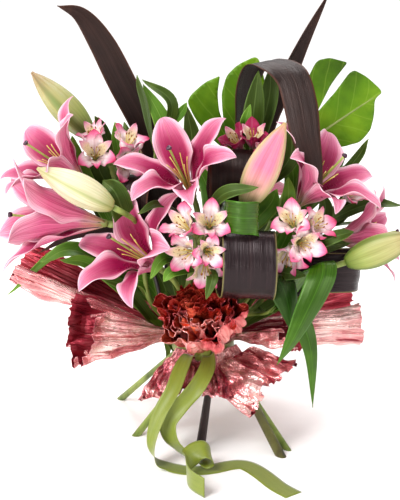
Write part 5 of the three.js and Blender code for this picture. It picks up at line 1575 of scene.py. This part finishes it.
ribbonTails = [
    {
        "points": [
            (-5, -46, 115), (-18, -57, 119), (-27, -77, 110), (-37, -101, 91), (-51, -114, 69),
            (-60, -122, 47), (-63, -127, 26), (-57, -128, 9.4), (-43, -126, 2.2), (-26, -133, 0.7),
            (-9, -135, 0.42), (10, -131, 0.4), (31, -121, 0.4), (46, -118, 0.4), (58, -127, 0.4),
            (71, -147, 0.4), (87, -177, 0.4), (104, -199, 0.4),
        ],
        "sides": [
            (0.98, 0, 0.1), (0.96, -0.2, 0.1), (0.95, -0.2, 0.2), (0.9, -0.4, 0.3), (0.5, -0.8, 0.2),
            (0.1, -1, 0), (0.1, -1, 0), (0, -1, 0), (-0.2, -1, 0), (0, -1, 0), (-0.6, -0.7, 0),
            (-0.85, -0.45, 0), (-0.8, -0.6, 0),
        ],
    },
    {
        "points": [
            (5, -46, 115), (6, -58, 119), (4, -79, 109), (-9, -100, 92), (-29, -111, 72), (-42, -116, 54),
            (-40, -119, 36), (-28, -121, 22), (-12, -124, 11), (3, -127, 9), (10, -130, 16), (3, -132, 26),
            (-9, -134, 25), (-18, -142, 17), (-20, -160, 13.6), (-15, -184, 12.9), (1, -206, 12.8),
        ],
        "sides": [
            (0.98, 0.1, 0), (0.5, 0.6, 0.4), (0.7, 0.5, 0.4), (0.9, 0.2, 0.4), (0.8, -0.2, 0.5),
            (0.4, -0.7, 0.5), (0.3, -0.8, 0.4), (0.2, -0.9, -0.3), (0.2, -0.8, -0.5), (0.2, -0.7, -0.6),
            (0.1, -0.2, -1), (0, 0, -1), (0, 0, -1),
        ],
    },
]

ribbonLook = {
    "width": 25, "thick": 0.5, "bandRadius": 39.0, "bandHalf": 6.5, "rows": 150, "columns": 9, "curl": 0.42,
}


# The band, the knot over it and the two tails; their middle lines are gathered, but nothing measures them.
def makeRibbon():
    shape, tie, columns = newShape(), bundle["tieHeight"], ribbonLook["columns"]
    places = [2 * place - 1 for place in steps(columns - 1)]
    band, knot = [], []
    for share in steps(96):
        angle = math.radians(-88 + 356 * share)
        row = []
        for s in places:
            radius = ribbonLook["bandRadius"] + 0.45 * math.sin(5 * angle + 4 * s) * math.sin(3 * s + angle)
            height = tie + s * ribbonLook["bandHalf"]
            row.append(Vector((radius * math.cos(angle), radius * math.sin(angle), height)))
        band.append(row)
    for share in steps(40):
        angle = math.radians(-86 + 352 * share) + math.pi / 2
        row = []
        for s in places:
            pinch = 1 - 0.22 * s * s
            out = Vector((0, 6.2 * math.cos(angle) * pinch, 8.6 * math.sin(angle) * pinch))
            gather = 0.5 * math.sin(9 * s + 3 * angle)
            row.append(Vector((9.5 * s + 1.5 * math.sin(angle), -45.2, tie)) + out * (1 + gather / 8))
        knot.append(row)

    def lift(s, t):
        return ribbonLook["curl"] * (1 - s * s) * min(1, max(0, (0.42 - t) / 0.12))

    tails, middles = [], [[row[columns // 2] for row in rows] for rows in (band, knot)]
    stations = steps(ribbonLook["rows"])
    for tail in ribbonTails:
        path = smooth(tail["points"], ribbonLook["rows"])
        middles.append(path)
        sides = [directionAt(tail["sides"], t) for t in stations]
        gathered = [0.45 + 0.35 * min(1, t / 0.12) + 0.2 * min(1, max(0, (t - 0.3) / 0.15)) for t in stations]
        halves = [ribbonLook["width"] / 2 * share for share in gathered]
        tails.append(bladeRows(path, sides, halves, columns, lift))
    for rows in (band, knot, *tails):
        addSheet(shape, rows, ribbonLook["thick"], "ribbon")
    piece = makePiece("ribbon", shape)


makeTwine()
makeRibbon()
print("twine and ribbon ready")


# Floor, light and camera, in metres

studio = {"half": 14.0, "sky": "#f2f3f5", "skyStrength": 0.68, "skySeen": 1.6, "aim": (0, 0, 0.25)}
sun = {"from": (-1.0, -1.1, 1.45), "strength": 2.8, "angle": 26}
softboxes = [
    {"at": (1.7, -1.2, 0.9), "size": 1.2, "power": 13},
    {"at": (0.3, 0.9, 1.9), "size": 1.2, "power": 30},
    {"at": (-1.9, 0.4, 0.7), "size": 0.9, "power": 14},
    {"at": (-1.2, -1.7, 0.45), "size": 0.6, "power": 16},
]
view = {"elevation": 16, "distance": 1.6, "target": (-4, 0, 237), "frameHeight": 0.625, "sensor": 36}


def makeFloor():
    half = studio["half"]
    mesh = bpy.data.meshes.new("floor")
    mesh.from_pydata(
        [(-half, -half, 0), (half, -half, 0), (half, half, 0), (-half, half, 0)], [], [(0, 1, 2, 3)],
    )
    material, tree, shader, place = newFinish("matt white paper", {"Roughness": 0.9})
    grain = add(tree, "ShaderNodeTexNoise", {"Vector": place["Object"], "Scale": per(25), "Detail": 2.0})
    tone = add(tree, "ShaderNodeValToRGB", {0: grain}, stops=[(0.3, "#f3f1ef"), (0.7, "#f6f4f2")])
    wire(tree, tone, shader.inputs["Base Color"])
    mesh.materials.append(material)
    floor = newObject("floor", mesh)


# A large soft sun from the upper left, four softboxes, and a sky that the camera sees as plain white.
def makeLights():
    data = bpy.data.lights.new("sun", "SUN")
    data.energy, data.angle = sun["strength"], math.radians(sun["angle"])
    newObject("sun", data).rotation_euler = Vector(sun["from"]).to_track_quat("Z", "Y").to_euler()
    for number, box in enumerate(softboxes):
        light = bpy.data.lights.new("softbox%d" % number, "AREA")
        light.size, light.energy = box["size"], box["power"]
        lamp = newObject(light.name, light)
        lamp.location = box["at"]
        lamp.rotation_euler = (Vector(studio["aim"]) - lamp.location).to_track_quat("-Z", "Y").to_euler()
    world = bpy.data.worlds.new("studio")
    world.use_nodes = True
    tree, background = world.node_tree, world.node_tree.nodes["Background"]
    background.inputs[0].default_value = linear(studio["sky"])
    seen = add(tree, "ShaderNodeLightPath").outputs["Is Camera Ray"]
    links = {0: seen, 3: studio["skyStrength"], 4: studio["skySeen"]}
    wire(tree, add(tree, "ShaderNodeMapRange", links), background.inputs[1])
    bpy.context.scene.world = world
    bpy.context.scene.view_settings.view_transform = "Standard"


def makeCamera():
    angle = math.radians(view["elevation"])
    towards = Vector((0, -math.cos(angle), math.sin(angle)))
    data = bpy.data.cameras.new("camera")
    data.sensor_fit, data.sensor_height = "VERTICAL", view["sensor"]
    data.lens = view["sensor"] * view["distance"] / view["frameHeight"]
    camera = newObject("camera", data)
    camera.location = bundleAxis + Vector(view["target"]) * millimetre + towards * view["distance"]
    camera.rotation_euler = (-towards).to_track_quat("-Z", "Y").to_euler()
    bpy.context.scene.camera = camera


makeFloor()
makeLights()
makeCamera()
print("studio ready")
